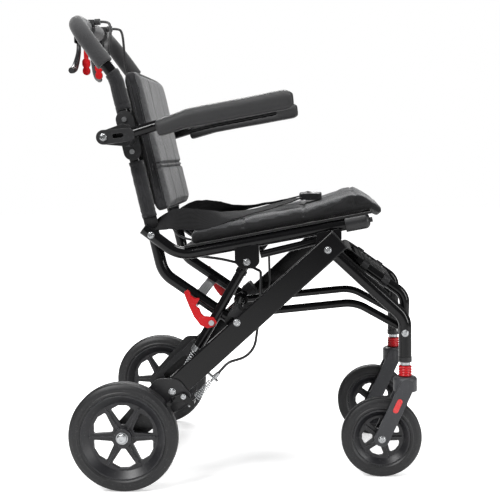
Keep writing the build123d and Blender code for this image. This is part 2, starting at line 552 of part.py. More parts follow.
caster_axle += across(FRONT_AXLE, 2 * LEG_Y - fork_out, 2 * LEG_Y - fork_out - 5, 13.0)
nodes |= both("caster_axle", caster_axle)

# ---- links between the front legs and the back frame -------------------------------------
link_side = [BACK_END, (425.0, 323.0), LEG_PIVOT]
link = tube_run(at_y(link_side, LINK_Y), [70.0], LINK_D, LINK_D - 3)
link += across(BACK_END, LINK_Y - 8, LINK_Y + 8, 30.0) + across(LEG_PIVOT, LINK_Y - 8, LINK_Y + 8, 22.0)
link -= across(BACK_END, LINK_Y - 9, LINK_Y + 9, LOWER_CROSS_D + 2 * FIT)
link -= across(LEG_PIVOT, LINK_Y - 9, LINK_Y + 9, BOLT_D + 0.8)
nodes["links"] = pair(link)

# ---- footrest, stowed under the seat's front ---------------------------------------------
foot_side = [LEG_PIVOT, (517.0, 340.0), (412.0, 416.0)]
foot_points = at_y(foot_side, FOOT_Y) + at_y(foot_side[::-1], -FOOT_Y)
foot_radii = [30.0, 28.0, 28.0, 30.0]
foot_frame = tube_run(foot_points, foot_radii, FOOT_D, FOOT_D - 3.6)
for side in (1, -1):
    foot_frame += across(LEG_PIVOT, side * (FOOT_Y - 9), side * (FOOT_Y + 9), 24.0)
    foot_frame -= across(LEG_PIVOT, side * (FOOT_Y - 10), side * (FOOT_Y + 10), BOLT_D + 2 * FIT)
nodes["footrest_frame"] = [foot_frame]
PLATE_LEN, PLATE_T = 84.0, 6.0
f = unit(foot_side[2], foot_side[1])
plate_mid = along(foot_side[2], foot_side[1], 60.0)
foot_plane = Plane(
    origin=(plate_mid[0], 0, plate_mid[1]), x_dir=(f[0], 0, f[1]), z_dir=(-f[1], 0, f[0])
)
plate_half = FOOT_Y - FOOT_D / 2 - 3.0
footplate = extrude(foot_plane * RectangleRounded(PLATE_LEN, 2 * plate_half, 8), PLATE_T)
for i in range(-3, 4):
    rib = Rectangle(3, 2 * plate_half - 24)
    footplate += extrude(foot_plane * Pos(i * 10, 0) * rib, PLATE_T + 1.5)
nodes["footplate"] = [footplate]
clip_y = FOOT_Y - FOOT_D / 2
clips = []
for d in (-24, 24):
    p = along(plate_mid, foot_side[1], d)
    ends = along(p, foot_side[1], -7), along(p, foot_side[1], 7)
    clip = rod(*ends, FOOT_Y, FOOT_D + 4) - rod(*ends, FOOT_Y, FOOT_D + 0.1)
    tongue_plane = Plane(origin=(p[0], 0, p[1]), x_dir=(f[0], 0, f[1]), z_dir=(-f[1], 0, f[0]))
    tongue = extrude(tongue_plane * Pos(0, clip_y - 12) * Rectangle(14, 20), -3.0)
    tongue = Pos(f[1] * 0.2, 0, -f[0] * 0.2) * tongue
    clip = (clip + tongue) - rod(*ends, FOOT_Y, FOOT_D + 0.1)
    clips += pair(clip)
nodes["footplate"] += clips

# ---- red latch levers ----------------------------------------------------------------------
lx, lz = LATCH_PIVOT
latch_points = [(4, 9), (-6, 11), (-14, 12), (-19, 17), (-22, 26), (-29, 31), (-26, 36), (-20, 45),
                (-30, 45), (-37, 50), (-39, 57), (-43, 61), (-49, 57), (-48, 50), (-40, 29),
                (-32, 11), (-20, -5), (-8, -10), (4, -8), (10, 0)]
latch_face = outline([(lx + a, lz + b) for a, b in latch_points], 1.6)
LATCH_IN = RAIL_Y + 9.6
latch = plate(latch_face, LATCH_IN, LATCH_IN + 7.0)
latch -= across(LATCH_PIVOT, LATCH_IN - 1, LATCH_IN + 8, 6.0 + 2 * FIT)
nodes |= both("latch", latch)
latch_pin = across(LATCH_PIVOT, RAIL_Y + 8.0, LATCH_IN + 7.3, 6.0)
latch_pin += across(LATCH_PIVOT, LATCH_IN + 7.3, LATCH_IN + 10.5, 10.0)
latch_pin -= rod(STRUT_TOP, BRACKET_BOLT, RAIL_Y, 18.1)
nodes["frame_bolts"] += pair(latch_pin)

# ---- wheel brakes --------------------------------------------------------------------------
ARM_LANE = BEAM_OUT + 4.4
brake_face = hull([(*BRAKE_SHOE, 4.5), (*BRAKE_PIVOT, 7.0)])
brake_arm = plate(brake_face, ARM_LANE, ARM_LANE + 4.5)
brake_arm += plate(bar_outline(BRAKE_PIVOT, BRAKE_LUG, 7.0, 5.0), ARM_LANE, ARM_LANE + 4.5)
brake_arm += across(BRAKE_SHOE, ARM_LANE, REAR_Y + REAR_TYRE_W / 2 - 2, 9.0)
STOP = (163.0, 200.0)
CABLE_Y = 214.0
brake_arm += across(BRAKE_LUG, CABLE_Y - 6, ARM_LANE + 4.5, 9.0)
brake_arm -= across(BRAKE_PIVOT, ARM_LANE - 1, ARM_LANE + 6, 6.0 + 2 * FIT)
brake_arm -= rod(along(BRAKE_LUG, STOP, -9), along(BRAKE_LUG, STOP, 9), CABLE_Y, 4.0)
nodes |= both("brake_arm", brake_arm)
stop_plane = Plane(
    origin=(STOP[0], CABLE_Y, STOP[1]), x_dir=(0, 1, 0),
    z_dir=(unit(BRAKE_LUG, STOP)[0], 0, unit(BRAKE_LUG, STOP)[1]),
)
stop_tab = extrude(stop_plane * Pos(0, 6) * RectangleRounded(14, 30, 3), 2.0)
stop_tab += extrude(stop_plane * Pos(0, 20) * Rectangle(14, 3), 16.0)
stop_tab -= rod(along(BRAKE_LUG, STOP, 0), along(BRAKE_LUG, STOP, 90), CABLE_Y, 5.2)
stop_tab -= beam_box(BEAM_HEIGHT + 0.2, BEAM_DEPTH + 4, 0)
nodes["zinc_fittings"] += pair(stop_tab)
reach = math.dist(BRAKE_LUG, STOP)
on_wire = lambda d: along(BRAKE_LUG, STOP, d)
barrel = rod(on_wire(reach - 6), on_wire(reach + 14), CABLE_Y, 5.0)
barrel += rod(on_wire(reach + 2.4), on_wire(reach + 9), CABLE_Y, 9.0)
barrel -= rod(on_wire(reach - 9), on_wire(reach + 7), CABLE_Y, 2.2)
barrel += rod(on_wire(reach + 7), on_wire(reach + 14), CABLE_Y, CABLE_D + 2.4)
barrel -= rod(on_wire(reach + 7), on_wire(reach + 15), CABLE_Y, CABLE_D + 0.2)
nodes["zinc_fittings"] += pair(barrel)
spring = coil(on_wire(10.5), on_wire(reach - 8), CABLE_Y, 6.2, 1.6, 4.0, cone=-2.2)
nodes["springs"] += pair(spring)
wire = rod(on_wire(-11), on_wire(reach + 5), CABLE_Y, 1.6)
wire += rod(on_wire(-12), on_wire(-7), CABLE_Y, 5.0)
nodes["zinc_fittings"] += pair(wire)

# ---- brake cables: on the folding back, across its pivot, and on the fixed frame ------------


def cable(points, turns):
    path = run(points, turns)
    shape = sweep(Plane(origin=path @ 0, z_dir=path % 0) * Circle(CABLE_D / 2), path=path)
    return shape, path.length


back_low = on_back(42, -8)
crossing_end = (236.0, 172.0, 398.0)
upper_points = [
    (ADJUSTER[0] + 12.3, LEVER_Y, ADJUSTER[2]), (-34.0, LEVER_Y, ADJUSTER[2]), (-42.0, 96.0, 778.0),
    (on_back(262, -15)[0], 141.0, on_back(262, -15)[1]), (back_low[0], 142.0, back_low[1]),
]
upper_cable, upper_len = cable(upper_points, [16.0, 30.0, 40.0])
crossing_points = [
    (back_low[0] + 0.2, 142.0, back_low[1] - 0.9), (back_low[0] + 16, 142.0, back_low[1] - 72),
    (190.0, 150.0, 412.0), crossing_end,
]
crossing_cable, crossing_len = cable(crossing_points, [30.0, 40.0])
lower_points = [
    (crossing_end[0] + 0.7, crossing_end[1] + 0.3, crossing_end[2] - 0.3), (250.0, 178.0, 392.0),
    (250.0, 194.0, 330.0), (236.0, 197.0, 240.0),
    (on_wire(reach + 40)[0], CABLE_Y, on_wire(reach + 40)[1]),
    (on_wire(reach + 7.4)[0], CABLE_Y, on_wire(reach + 7.4)[1]),
]
nodes["cables_upper"] = pair(upper_cable) + pair(crossing_cable)

# ---- upholstery -----------------------------------------------------------------------------
clamp_gap = [CLAMP_S - 48.5, CLAMP_S + 48.5]
sleeves = []
for s0, s1 in ((SLEEVE_LOW, clamp_gap[0]), (clamp_gap[1], SLEEVE_TOP)):
    tube_part = rod(on_back(s0), on_back(s1), BACK_Y, BACK_D + 2 * SEAT_GAP + 2 * SLEEVE_T)
    tube_part -= rod(on_back(s0 - 5), on_back(s1 + 5), BACK_Y, BACK_D + 2 * SEAT_GAP)
    sleeves += pair(tube_part)
nodes["back_cover"] = sleeves
PANEL_HALF = BACK_Y - BACK_D / 2 - SLEEVE_T - 2 * SEAT_GAP - 1.0


def back_slab(s0, s1, a0, a1, half):
    face = outline([on_back(s0, a0), on_back(s1, a0), on_back(s1, a1), on_back(s0, a1)])
    return plate(face, -half, half)


back_panel = back_slab(PANEL_LOW, SLEEVE_TOP, -3.0, 3.0, PANEL_HALF)
nodes["back_cover"] += [back_panel]
pad_back = CLAMP_R + SEAT_GAP
pad = back_slab(PAD_LOW, PAD_TOP, pad_back, pad_back + PAD_T, BACK_Y + 6.0)
pad = fillet(pad.edges().group_by(Axis.Z)[-1] + pad.edges().group_by(Axis.Z)[-2], 8.0)
nodes["back_pad"] = [pad]


def seat_slab(x0, x1, low, high, half):
    points = [(x0, rail_z(x0) + low), (x1, rail_z(x1) + low), (x1, rail_z(x1) + high),
              (x0, rail_z(x0) + high)]
    return plate(outline(points), -half, half)


sling_low = RAIL_D / 2 + SEAT_GAP
sling = seat_slab(SEAT_REAR_X, SEAT_FRONT_X, sling_low, sling_low + SLING_T, RAIL_Y + 9)
sling -= rod(RAIL_FRONT, tip, RAIL_Y, 29.8) + rod(RAIL_FRONT, tip, -RAIL_Y, 29.8)
sling -= solid_run(rail_points, [60.0], RAIL_D + 2 * SEAT_GAP)
sling -= mirrored(solid_run(rail_points, [60.0], RAIL_D + 2 * SEAT_GAP))
nodes["seat_sling"] = [sling]
pad_low = sling_low + SLING_T + SEAT_GAP
seat_pad_face = outline([
    (SEAT_REAR_X + 4, rail_z(SEAT_REAR_X + 4) + pad_low),
    (SEAT_FRONT_X + 5, rail_z(SEAT_FRONT_X + 5) + pad_low), (466, 496),
    (479, 494), (482, 503), (462, 515), (438, 534), (424, 532), (400, rail_z(400) + pad_low + 30),
    (340, rail_z(340) + pad_low + SEAT_PAD_T),
    (SEAT_REAR_X + 4, rail_z(SEAT_REAR_X + 4) + pad_low + SEAT_PAD_T),
], 3.0)
seat_pad = plate(seat_pad_face, -RAIL_Y - 5, RAIL_Y + 5)
nodes["seat_pad"] = [seat_pad]

lower_cable, lower_len = cable(lower_points, [6.0, 30.0, 40.0, 24.0])
nodes["cables_lower"] = pair(lower_cable)

for name, length in (("upper", upper_len), ("crossing", crossing_len), ("lower", lower_len)):
    print(f"cable {name}: {length:.0f} mm")

# ---- lap belt -------------------------------------------------------------------------------
BELT_W, BELT_T = 40.0, 2.5
belt_lift = pad_low + SEAT_PAD_T + 1.0


def webbing(side_points, y_points, thick=BELT_T, width=BELT_W):
    """A strip of webbing that lies along side-view points and shifts across as it goes."""
    pieces = []
    for (a, b), (ya, yb) in zip(zip(side_points, side_points[1:]), zip(y_points, y_points[1:])):
        faces = []
        for (x, z), y in ((a, ya), (b, yb)):
            faces.append(Plane(origin=(x, y, z), x_dir=(0, 1, 0), z_dir=(1, 0, 0))
                         * Rectangle(width, thick))
        pieces.append(loft(faces))
    body = pieces[0]
    for piece in pieces[1:]:
        body += piece
    return body


belt_rear = (86.0, 490.0)
belt_side = [belt_rear, (126.0, 511.0), (170.0, 502.0), (240.0, rail_z(240) + belt_lift + 2),
             (290.0, rail_z(290) + belt_lift + 6), (316.0, rail_z(316) + belt_lift + 12)]
belt_y = [150.0, 136.0, 122.0, 92.0, 66.0, 44.0]
belt = webbing(belt_side, belt_y)
nodes["belt_straps"] = pair(belt)
buckle_x, buckle_z = 328.0, rail_z(346) + belt_lift + 14
buckle_half = Pos(buckle_x + 14, 20.5, buckle_z) * Box(46, 37, 14)
buckle_half = fillet(buckle_half.edges().filter_by(Axis.Z), 5.0)
tongue = Pos(buckle_x + 14, -19, buckle_z) * Box(44, 40, 12)
tongue = fillet(tongue.edges().filter_by(Axis.Z), 5.0)
nodes["belt_buckle"] = [buckle_half, tongue]

# ---- write every node with the origin on the floor, midway along the chair ------------------
solids = {}
for name, parts in nodes.items():
    solids[name] = [s for p in parts for s in p.solids()]
boxes = [s.bounding_box() for parts in solids.values() for s in parts]
middle_x = (min(b.min.X for b in boxes) + max(b.max.X for b in boxes)) / 2
floor_z = min(b.min.Z for b in boxes)
print(f"middle_x {middle_x:.4f} floor_z {floor_z:.4f} nodes {len(solids)}")
for name, parts in solids.items():
    moved = [Pos(-middle_x, 0, -floor_z) * s for s in parts]
    shape = moved[0] if len(moved) == 1 else Compound(children=moved)
    export_step(shape, f"parts/{name}.step")
    print(name, len(moved), [round(s.volume) for s in moved][:2])
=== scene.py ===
import json
import math

import bmesh
import bpy
from mathutils import Matrix, Vector, noise


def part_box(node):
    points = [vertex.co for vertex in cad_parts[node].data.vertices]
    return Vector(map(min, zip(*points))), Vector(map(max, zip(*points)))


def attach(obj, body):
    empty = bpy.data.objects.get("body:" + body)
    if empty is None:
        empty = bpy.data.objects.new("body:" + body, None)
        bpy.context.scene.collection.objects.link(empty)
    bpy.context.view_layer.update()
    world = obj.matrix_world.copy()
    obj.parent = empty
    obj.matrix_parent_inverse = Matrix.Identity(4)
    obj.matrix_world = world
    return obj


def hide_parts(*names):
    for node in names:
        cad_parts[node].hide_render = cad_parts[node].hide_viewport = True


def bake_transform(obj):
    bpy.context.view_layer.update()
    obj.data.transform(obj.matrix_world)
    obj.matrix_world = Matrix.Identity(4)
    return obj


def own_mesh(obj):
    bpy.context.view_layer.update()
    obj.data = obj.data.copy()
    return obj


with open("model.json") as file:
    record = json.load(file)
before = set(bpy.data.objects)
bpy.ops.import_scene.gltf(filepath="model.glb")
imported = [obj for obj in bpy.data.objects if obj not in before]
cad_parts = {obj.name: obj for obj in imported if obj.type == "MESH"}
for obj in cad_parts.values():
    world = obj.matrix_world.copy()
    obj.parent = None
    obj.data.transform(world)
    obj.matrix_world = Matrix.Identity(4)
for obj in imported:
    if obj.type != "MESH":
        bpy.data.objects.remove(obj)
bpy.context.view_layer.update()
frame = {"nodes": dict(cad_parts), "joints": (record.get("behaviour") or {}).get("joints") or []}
scene = bpy.context.scene


# ---- Camera, floor and light --------------------------------------------------------------
# The chair stands on a pale studio floor and is seen from its right side, a little from above.
# Large soft lights give the black tubes long clean highlights.
YAW, PITCH, ROLL = 0.062, 0.093, 0.015
EYE = Vector((0.1311, -2.0944, 0.6104))
forward = Vector(
    (-math.sin(YAW) * math.cos(PITCH), math.cos(YAW) * math.cos(PITCH), -math.sin(PITCH))
)
level = Vector((math.cos(YAW), math.sin(YAW), 0.0))
fall = forward.cross(level)
rightward = math.cos(ROLL) * level + math.sin(ROLL) * fall
upward = math.sin(ROLL) * level - math.cos(ROLL) * fall
camera = bpy.data.objects.new("camera", bpy.data.cameras.new("camera"))
scene.collection.objects.link(camera)
camera.data.sensor_width, camera.data.lens = 36.0, 75.68
turned = Matrix((rightward, upward, -forward)).transposed().to_4x4()
camera.matrix_world = Matrix.Translation(EYE) @ turned
scene.camera = camera
scene.view_settings.view_transform = "Standard"


def soft_light(name, place, aim, width, height, power):
    """A rectangular studio softbox that faces a point."""
    lamp = bpy.data.lights.new(name, "AREA")
    lamp.shape, lamp.size, lamp.size_y, lamp.energy = "RECTANGLE", width, height, power
    holder = bpy.data.objects.new(name, lamp)
    scene.collection.objects.link(holder)
    way = (Vector(aim) - Vector(place)).to_track_quat("-Z", "Y")
    holder.matrix_world = Matrix.Translation(place) @ way.to_matrix().to_4x4()


soft_light("key", (-1.5, -2.2, 2.4), (0, 0, 0.45), 1.1, 0.8, 78)
soft_light("fill", (2.4, -1.3, 1.1), (0, 0, 0.4), 0.5, 1.6, 30)
soft_light("rim", (-0.5, 2.3, 2.1), (0, 0, 0.5), 2.0, 0.7, 55)
soft_light("top", (0.2, -0.1, 2.9), (0, 0, 0.0), 1.5, 0.9, 50)

world = bpy.data.worlds.new("studio")
scene.world = world
world.use_nodes = True
sky = world.node_tree.nodes["Background"]
sky.inputs["Color"].default_value = (1.0, 1.0, 1.0, 1.0)
seen = world.node_tree.nodes.new("ShaderNodeLightPath")
strength = world.node_tree.nodes.new("ShaderNodeMapRange")
strength.inputs["To Min"].default_value = 0.16
strength.inputs["To Max"].default_value = 1.0
world.node_tree.links.new(seen.outputs["Is Camera Ray"], strength.inputs["Value"])
world.node_tree.links.new(strength.outputs["Result"], sky.inputs["Strength"])


def piece_from(shape, name, smooth=True):
    """A finished mesh piece, at the origin, from a bmesh."""
    mesh = bpy.data.meshes.new(name)
    bmesh.ops.recalc_face_normals(shape, faces=shape.faces)
    shape.to_mesh(mesh)
    shape.free()
    mesh.polygons.foreach_set("use_smooth", [smooth] * len(mesh.polygons))
    piece = bpy.data.objects.new(name, mesh)
    scene.collection.objects.link(piece)
    return piece


ground = bmesh.new()
bmesh.ops.create_circle(ground, cap_ends=True, segments=64, radius=9.0)
floor = piece_from(ground, "floor", False)


# ---- How finishes are built -----------------------------------------------------------------
def new_finish(name, **values):
    """A material with its shader's plain values set, and the place its patterns read."""
    made = bpy.data.materials.new(name)
    made.use_nodes = True
    shader = made.node_tree.nodes["Principled BSDF"]
    for socket, value in values.items():
        shader.inputs[socket.replace("_", " ")].default_value = value
    place = made.node_tree.nodes.new("ShaderNodeTexCoord").outputs["Object"]
    return made, shader, place


def put(tree, kind, setting=None, **inputs):
    """A node with its inputs set or linked. setting holds its menu choices."""
    node = tree.nodes.new("ShaderNode" + kind)
    for name, value in (setting or {}).items():
        setattr(node, name, value)
    for name, value in inputs.items():
        key = int(name[1:]) if name[0] == "_" else name.replace("_", " ")
        socket = node.inputs[key]
        if isinstance(value, bpy.types.NodeSocket):
            tree.links.new(value, socket)
        else:
            socket.default_value = value
    return node


def calc(tree, operation, a, b=0.0, c=0.0):
    return put(tree, "Math", {"operation": operation}, _0=a, _1=b, _2=c).outputs[0]


def tint(tree, share, a, b):
    return put(tree, "Mix", {"data_type": "RGBA"}, _0=share, _6=a, _7=b).outputs[2]


def new_effect(name, inputs, outputs):
    """An empty shader node group with named sockets."""
    group = bpy.data.node_groups.new(name, "ShaderNodeTree")
    kinds = {"colour": "NodeSocketColor", "value": "NodeSocketFloat", "vector": "NodeSocketVector"}
    for socket, kind, value in inputs:
        made = group.interface.new_socket(socket, in_out="INPUT", socket_type=kinds[kind])
        if value is not None:
            made.default_value = value
    for socket, kind in outputs:
        group.interface.new_socket(socket, in_out="OUTPUT", socket_type=kinds[kind])
    given = group.nodes.new("NodeGroupInput").outputs
    return group, given, group.nodes.new("NodeGroupOutput").inputs


def effect(tree, group, **inputs):
    return put(tree, "Group", {"node_tree": group}, **inputs).outputs


def dress(node, material):
    """Gives a CAD node's own mesh a finish."""
    for place in frame["nodes"][node].material_slots:
        place.material = material


def cover(piece, material, body, *nodes, slot):
    """Gives a new piece its finish, its body and the CAD nodes it stands for."""
    piece.data.materials.clear()
    piece.data.materials.append(material)
    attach(piece, body)
    if nodes:
        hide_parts(*nodes)
    return piece


# a coat or moulded skin: slow shade changes, fine grain, and dust caught in specks
coat, given, result = new_effect(
    "coat",
    [("Place", "vector", None), ("Colour", "colour", (0.1, 0.1, 0.1, 1)),
     ("Dust colour", "colour", (0.4, 0.4, 0.4, 1)), ("Dust", "value", 0.3),
     ("Roughness", "value", 0.4), ("Grain", "value", 900.0)],
    [("Colour", "colour"), ("Roughness", "value"), ("Height", "value")],
)
patches = put(coat, "TexNoise", Vector=given["Place"], Scale=13.0, Detail=4.0).outputs[0]
grain = put(coat, "TexNoise", Vector=given["Place"], Scale=given["Grain"], Detail=2.0).outputs[0]
flecks = put(coat, "TexNoise", Vector=given["Place"], Scale=330.0, Detail=1.0).outputs[0]
dusty = calc(coat, "MULTIPLY", calc(coat, "SMOOTH_MIN", calc(coat, "MULTIPLY", calc(
    coat, "SUBTRACT", flecks, 0.62), 9.0), 1.0, 0.1), patches)
dusty = put(coat, "Clamp", Value=calc(coat, "MULTIPLY", dusty, given["Dust"])).outputs[0]
shade = put(coat, "MapRange", Value=patches, From_Min=0.3, From_Max=0.7, To_Min=0.88, To_Max=1.12)
shaded = put(coat, "VectorMath", {"operation": "SCALE"}, _0=given["Colour"],
             Scale=shade.outputs[0]).outputs[0]
coat.links.new(tint(coat, dusty, shaded, given["Dust colour"]), result["Colour"])
spread = calc(coat, "MULTIPLY_ADD", calc(coat, "SUBTRACT", patches, 0.5), 0.10, given["Roughness"])
coat.links.new(calc(coat, "MULTIPLY_ADD", dusty, 0.3, spread), result["Roughness"])
coat.links.new(grain, result["Height"])

# wear: bare or paler material where a corner is rubbed
wear, given, result = new_effect(
    "edge_wear", [("Place", "vector", None), ("Width", "value", 0.0012), ("Amount", "value", 0.5)],
    [("Mask", "value")],
)
rounded = put(wear, "Bevel", {"samples": 4}, Radius=given["Width"]).outputs[0]
flat = put(wear, "NewGeometry").outputs["Normal"]
facing = put(wear, "VectorMath", {"operation": "DOT_PRODUCT"}, _0=rounded, _1=flat).outputs["Value"]
corner = calc(wear, "MULTIPLY", calc(wear, "SUBTRACT", 1.0, facing), 5.0)
broken = put(wear, "TexNoise", Vector=given["Place"], Scale=90.0, Detail=4.0).outputs[0]
broken = put(wear, "MapRange", Value=broken, From_Min=0.42, From_Max=0.68).outputs[0]
rubbed = calc(wear, "MULTIPLY", calc(wear, "MULTIPLY", corner, broken), given["Amount"])
wear.links.new(put(wear, "Clamp", Value=rubbed).outputs[0], result["Mask"])


def hard_finish(name, colour, roughness, dust=0.3, grain=900.0, depth=0.00004, rub=0.4,
                bare=(0.3, 0.3, 0.3, 1), edge=0.0008, **values):
    """A painted, plated or moulded finish with softened corners, grain, dust and rubbed edges."""
    made, shader, place = new_finish(name, **values)
    tree = made.node_tree
    skin = effect(tree, coat, Place=place, Colour=(*colour, 1), Dust=dust, Roughness=roughness,
                  Grain=grain)
    rubbed = effect(tree, wear, Place=place, Width=edge * 1.4, Amount=rub)["Mask"]
    tree.links.new(tint(tree, rubbed, skin["Colour"], bare), shader.inputs["Base Color"])
    tree.links.new(skin["Roughness"], shader.inputs["Roughness"])
    soft = put(tree, "Bevel", {"samples": 6}, Radius=edge).outputs[0]
    bump = put(tree, "Bump", Strength=0.5, Distance=depth, Height=skin["Height"], Normal=soft)
    tree.links.new(bump.outputs[0], shader.inputs["Normal"])
    return made


floor_paint, shader, place = new_finish("floor_paint", Roughness=0.75)
tree = floor_paint.node_tree
spots = put(tree, "TexNoise", Vector=place, Scale=6.0, Detail=3.0).outputs[0]
tree.links.new(tint(tree, spots, (0.90, 0.90, 0.90, 1), (0.93, 0.93, 0.93, 1)),
               shader.inputs["Base Color"])
reach = put(tree, "VectorMath", {"operation": "LENGTH"}, _0=place).outputs["Value"]
far = put(tree, "MapRange", Value=reach, From_Min=0.5, From_Max=1.5, To_Min=0.45).outputs[0]
glow = calc(tree, "MULTIPLY", far, put(tree, "LightPath").outputs["Is Camera Ray"])
tree.links.new(tint(tree, glow, (0, 0, 0, 1), (1, 1, 1, 1)), shader.inputs["Emission Color"])
shader.inputs["Emission Strength"].default_value = 1.0
floor.data.materials.append(floor_paint)


# ---- Side frame -----------------------------------------------------------------------------
# Steel box beams, seat rails, struts and bent tubes, welded, bolted and powder coated gloss black.
# The coat is slightly orange-peeled and rubs to a dull grey on the corners.
frame_black = hard_finish("frame_black", (0.0030, 0.0030, 0.0034), 0.13, dust=0.02, grain=420.0,
                          depth=0.00002, rub=0.12, bare=(0.14, 0.14, 0.15, 1), edge=0.0014,
                          Specular_IOR_Level=0.30)
for node in ("beams", "seat_rails", "struts", "cross_tubes", "rail_brackets", "back_tube",
             "front_legs", "links", "footrest_frame", "brake_arm_left", "brake_arm_right",
             "arm_tube_left", "arm_tube_right"):
    dress(node, frame_black)

# ---- Moulded black parts --------------------------------------------------------------------
# Brackets, caps, housings and clamps are glass-filled nylon with a fine spark-eroded skin, pushed
# or bolted on the tubes. The caster forks are a greyer nylon.
nylon_black = hard_finish("nylon_black", (0.008, 0.008, 0.009), 0.42, dust=0.08, grain=1500.0,
                          depth=0.00012, rub=0.3, bare=(0.10, 0.10, 0.10, 1), edge=0.0009)
for node in ("end_caps", "rear_brackets", "stem_bushes", "brake_housings", "arm_clamps",
             "arm_knuckle_left", "arm_knuckle_right", "brake_lever_left", "brake_lever_right",
             "footplate"):
    dress(node, nylon_black)
nylon_grey = hard_finish("nylon_grey", (0.034, 0.035, 0.039), 0.42, dust=0.08, grain=1500.0,
                         depth=0.00010, rub=0.3, bare=(0.2, 0.2, 0.2, 1), edge=0.0012)
for node in ("caster_fork_left", "caster_fork_right"):
    dress(node, nylon_grey)

# ---- Bright metal ---------------------------------------------------------------------------
# Bolts, springs, cable stops and axles are zinc plated; the flat cross-plate is brushed steel.
zinc = hard_finish("zinc", (0.46, 0.47, 0.48), 0.27, dust=0.15, grain=2000.0, depth=0.00002,
                   rub=0.2, bare=(0.8, 0.8, 0.8, 1), edge=0.0004, Metallic=1.0)
for node in ("frame_bolts", "back_bolts", "leg_bolts", "rear_axle_bolts", "springs",
             "zinc_fittings", "caster_axle_left", "caster_axle_right"):
    dress(node, zinc)
brushed, shader, place = new_finish("brushed_plate", Metallic=0.45)
tree = brushed.node_tree
lines = put(tree, "Mapping", Vector=place, Scale=(900.0, 6.0, 900.0)).outputs[0]
lines = put(tree, "TexNoise", Vector=lines, Scale=1.0, Detail=3.0).outputs[0]
tree.links.new(tint(tree, lines, (0.60, 0.61, 0.62, 1), (0.80, 0.80, 0.81, 1)),
               shader.inputs["Base Color"])
tree.links.new(put(tree, "MapRange", Value=lines, To_Min=0.2, To_Max=0.42).outputs[0],
               shader.inputs["Roughness"])
soft = put(tree, "Bevel", {"samples": 6}, Radius=0.0008).outputs[0]
tree.links.new(put(tree, "Bump", Strength=0.3, Distance=0.00003, Height=lines,
                   Normal=soft).outputs[0], shader.inputs["Normal"])
dress("back_cross_plate", brushed)

# ---- Red parts ------------------------------------------------------------------------------
# Latch levers and lock tabs are glossy red nylon; the reflectors are clear ribbed red, painted
# bright red on each rib crest and dark red in each groove as painted light and shade.
red_nylon = hard_finish("red_nylon", (0.47, 0.002, 0.005), 0.30, dust=0.15, grain=1200.0,
                        depth=0.00005, rub=0.25, bare=(0.75, 0.10, 0.09, 1), edge=0.0012,
                        Specular_IOR_Level=0.35)
for node in ("latch_left", "latch_right", "lock_tab_left", "lock_tab_right"):
    dress(node, red_nylon)
reflector_red, shader, place = new_finish("reflector_red", Roughness=0.1, Coat_Weight=1.0,
                                          Coat_Roughness=0.05)
tree = reflector_red.node_tree
apart = put(tree, "SeparateXYZ", Vector=place).outputs
rib_relief_and_shade = calc(tree, "ABSOLUTE", calc(tree, "SINE", calc(tree, "MULTIPLY", apart["Z"], 1600.0)))
# Painted light and shade: each rib crest is painted bright red and each groove dark red.
tree.links.new(tint(tree, rib_relief_and_shade, (0.35, 0.0, 0.005, 1), (0.85, 0.02, 0.02, 1)),
               shader.inputs["Base Color"])
tree.links.new(put(tree, "Bump", Strength=0.8, Distance=0.0004, Height=rib_relief_and_shade).outputs[0],
               shader.inputs["Normal"])
for node in ("reflector_left", "reflector_right"):
    dress(node, reflector_red)


# ---- Wheels ---------------------------------------------------------------------------------
# Solid black tyres on moulded black centres. A tyre has round shoulders, a flat tread with two
# grooves and a raised bead line near the rim; it is pressed on a deep rim lip.
tyre_rubber = hard_finish("tyre_rubber", (0.009, 0.009, 0.010), 0.44, dust=0.12, grain=800.0,
                          depth=0.00014, rub=0.15, bare=(0.08, 0.08, 0.08, 1), edge=0.0006)
wheel_black = hard_finish("wheel_black", (0.010, 0.010, 0.012), 0.34, dust=0.10, grain=1100.0,
                          depth=0.00008, rub=0.35, bare=(0.13, 0.13, 0.14, 1), edge=0.0014)


def turned_ring(name, middle, profile, steps):
    """A closed profile of (radius, width) points turned round a wheel's axle, along Y."""
    shape = bmesh.new()
    corners = [shape.verts.new(middle + Vector((r, w, 0.0))) for r, w in profile]
    edges = [shape.edges.new(pair) for pair in zip(corners, corners[1:] + corners[:1])]
    bmesh.ops.spin(shape, geom=corners + edges, cent=middle, axis=(0, 1, 0),
                   angle=math.tau, steps=steps, use_merge=True)
    return piece_from(shape, name)


def rounded_outline(points, size, steps):
    """The outline with each sharp corner cut round, by bevelling its corners."""
    shape = bmesh.new()
    corners = [shape.verts.new((r, w, 0.0)) for r, w in points]
    shape.faces.new(corners)
    bmesh.ops.bevel(shape, geom=shape.verts[:], offset=size, segments=steps, profile=0.5,
                    affect="VERTICES", material=-1)
    shape.faces.ensure_lookup_table()
    made = [(v.co.x, v.co.y) for v in shape.faces[0].verts]
    shape.free()
    return made


def make_tyre(name, node, rim_node, body):
    low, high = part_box(node)
    rim_low, rim_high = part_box(rim_node)
    middle = (low + high) / 2
    outer, half = (high.z - low.z) / 2, (high.y - low.y) / 2
    inner = (rim_high.z - rim_low.z) / 2 + 0.0002
    deep = outer - inner
    profile = [
        (inner, -half + 0.0022), (inner + deep * 0.10, -half + 0.0008),
        (inner + deep * 0.16, -half),
        (inner + deep * 0.24, -half), (inner + deep * 0.30, -half + 0.0010),
        (outer - deep * 0.40, -half + 0.0006), (outer - deep * 0.10, -half * 0.80),
        (outer, -half * 0.52), (outer, -half * 0.40), (outer - 0.0013, -half * 0.36),
        (outer - 0.0013, -half * 0.30), (outer, -half * 0.26),
    ]
    profile += [(r, -w) for r, w in profile[::-1]]
    tyre = turned_ring(name, middle, rounded_outline(profile, 0.0005, 2), 144)
    cover(tyre, tyre_rubber, body, node, slot="rubber_tyre")


for side in ("left", "right"):
    for end in ("rear", "front"):
        make_tyre(f"{end}_tyre_rubber_{side}", f"{end}_tyre_{side}", f"{end}_rim_{side}",
                  f"{end}_wheel_{side}")
        dress(f"{end}_rim_{side}", wheel_black)

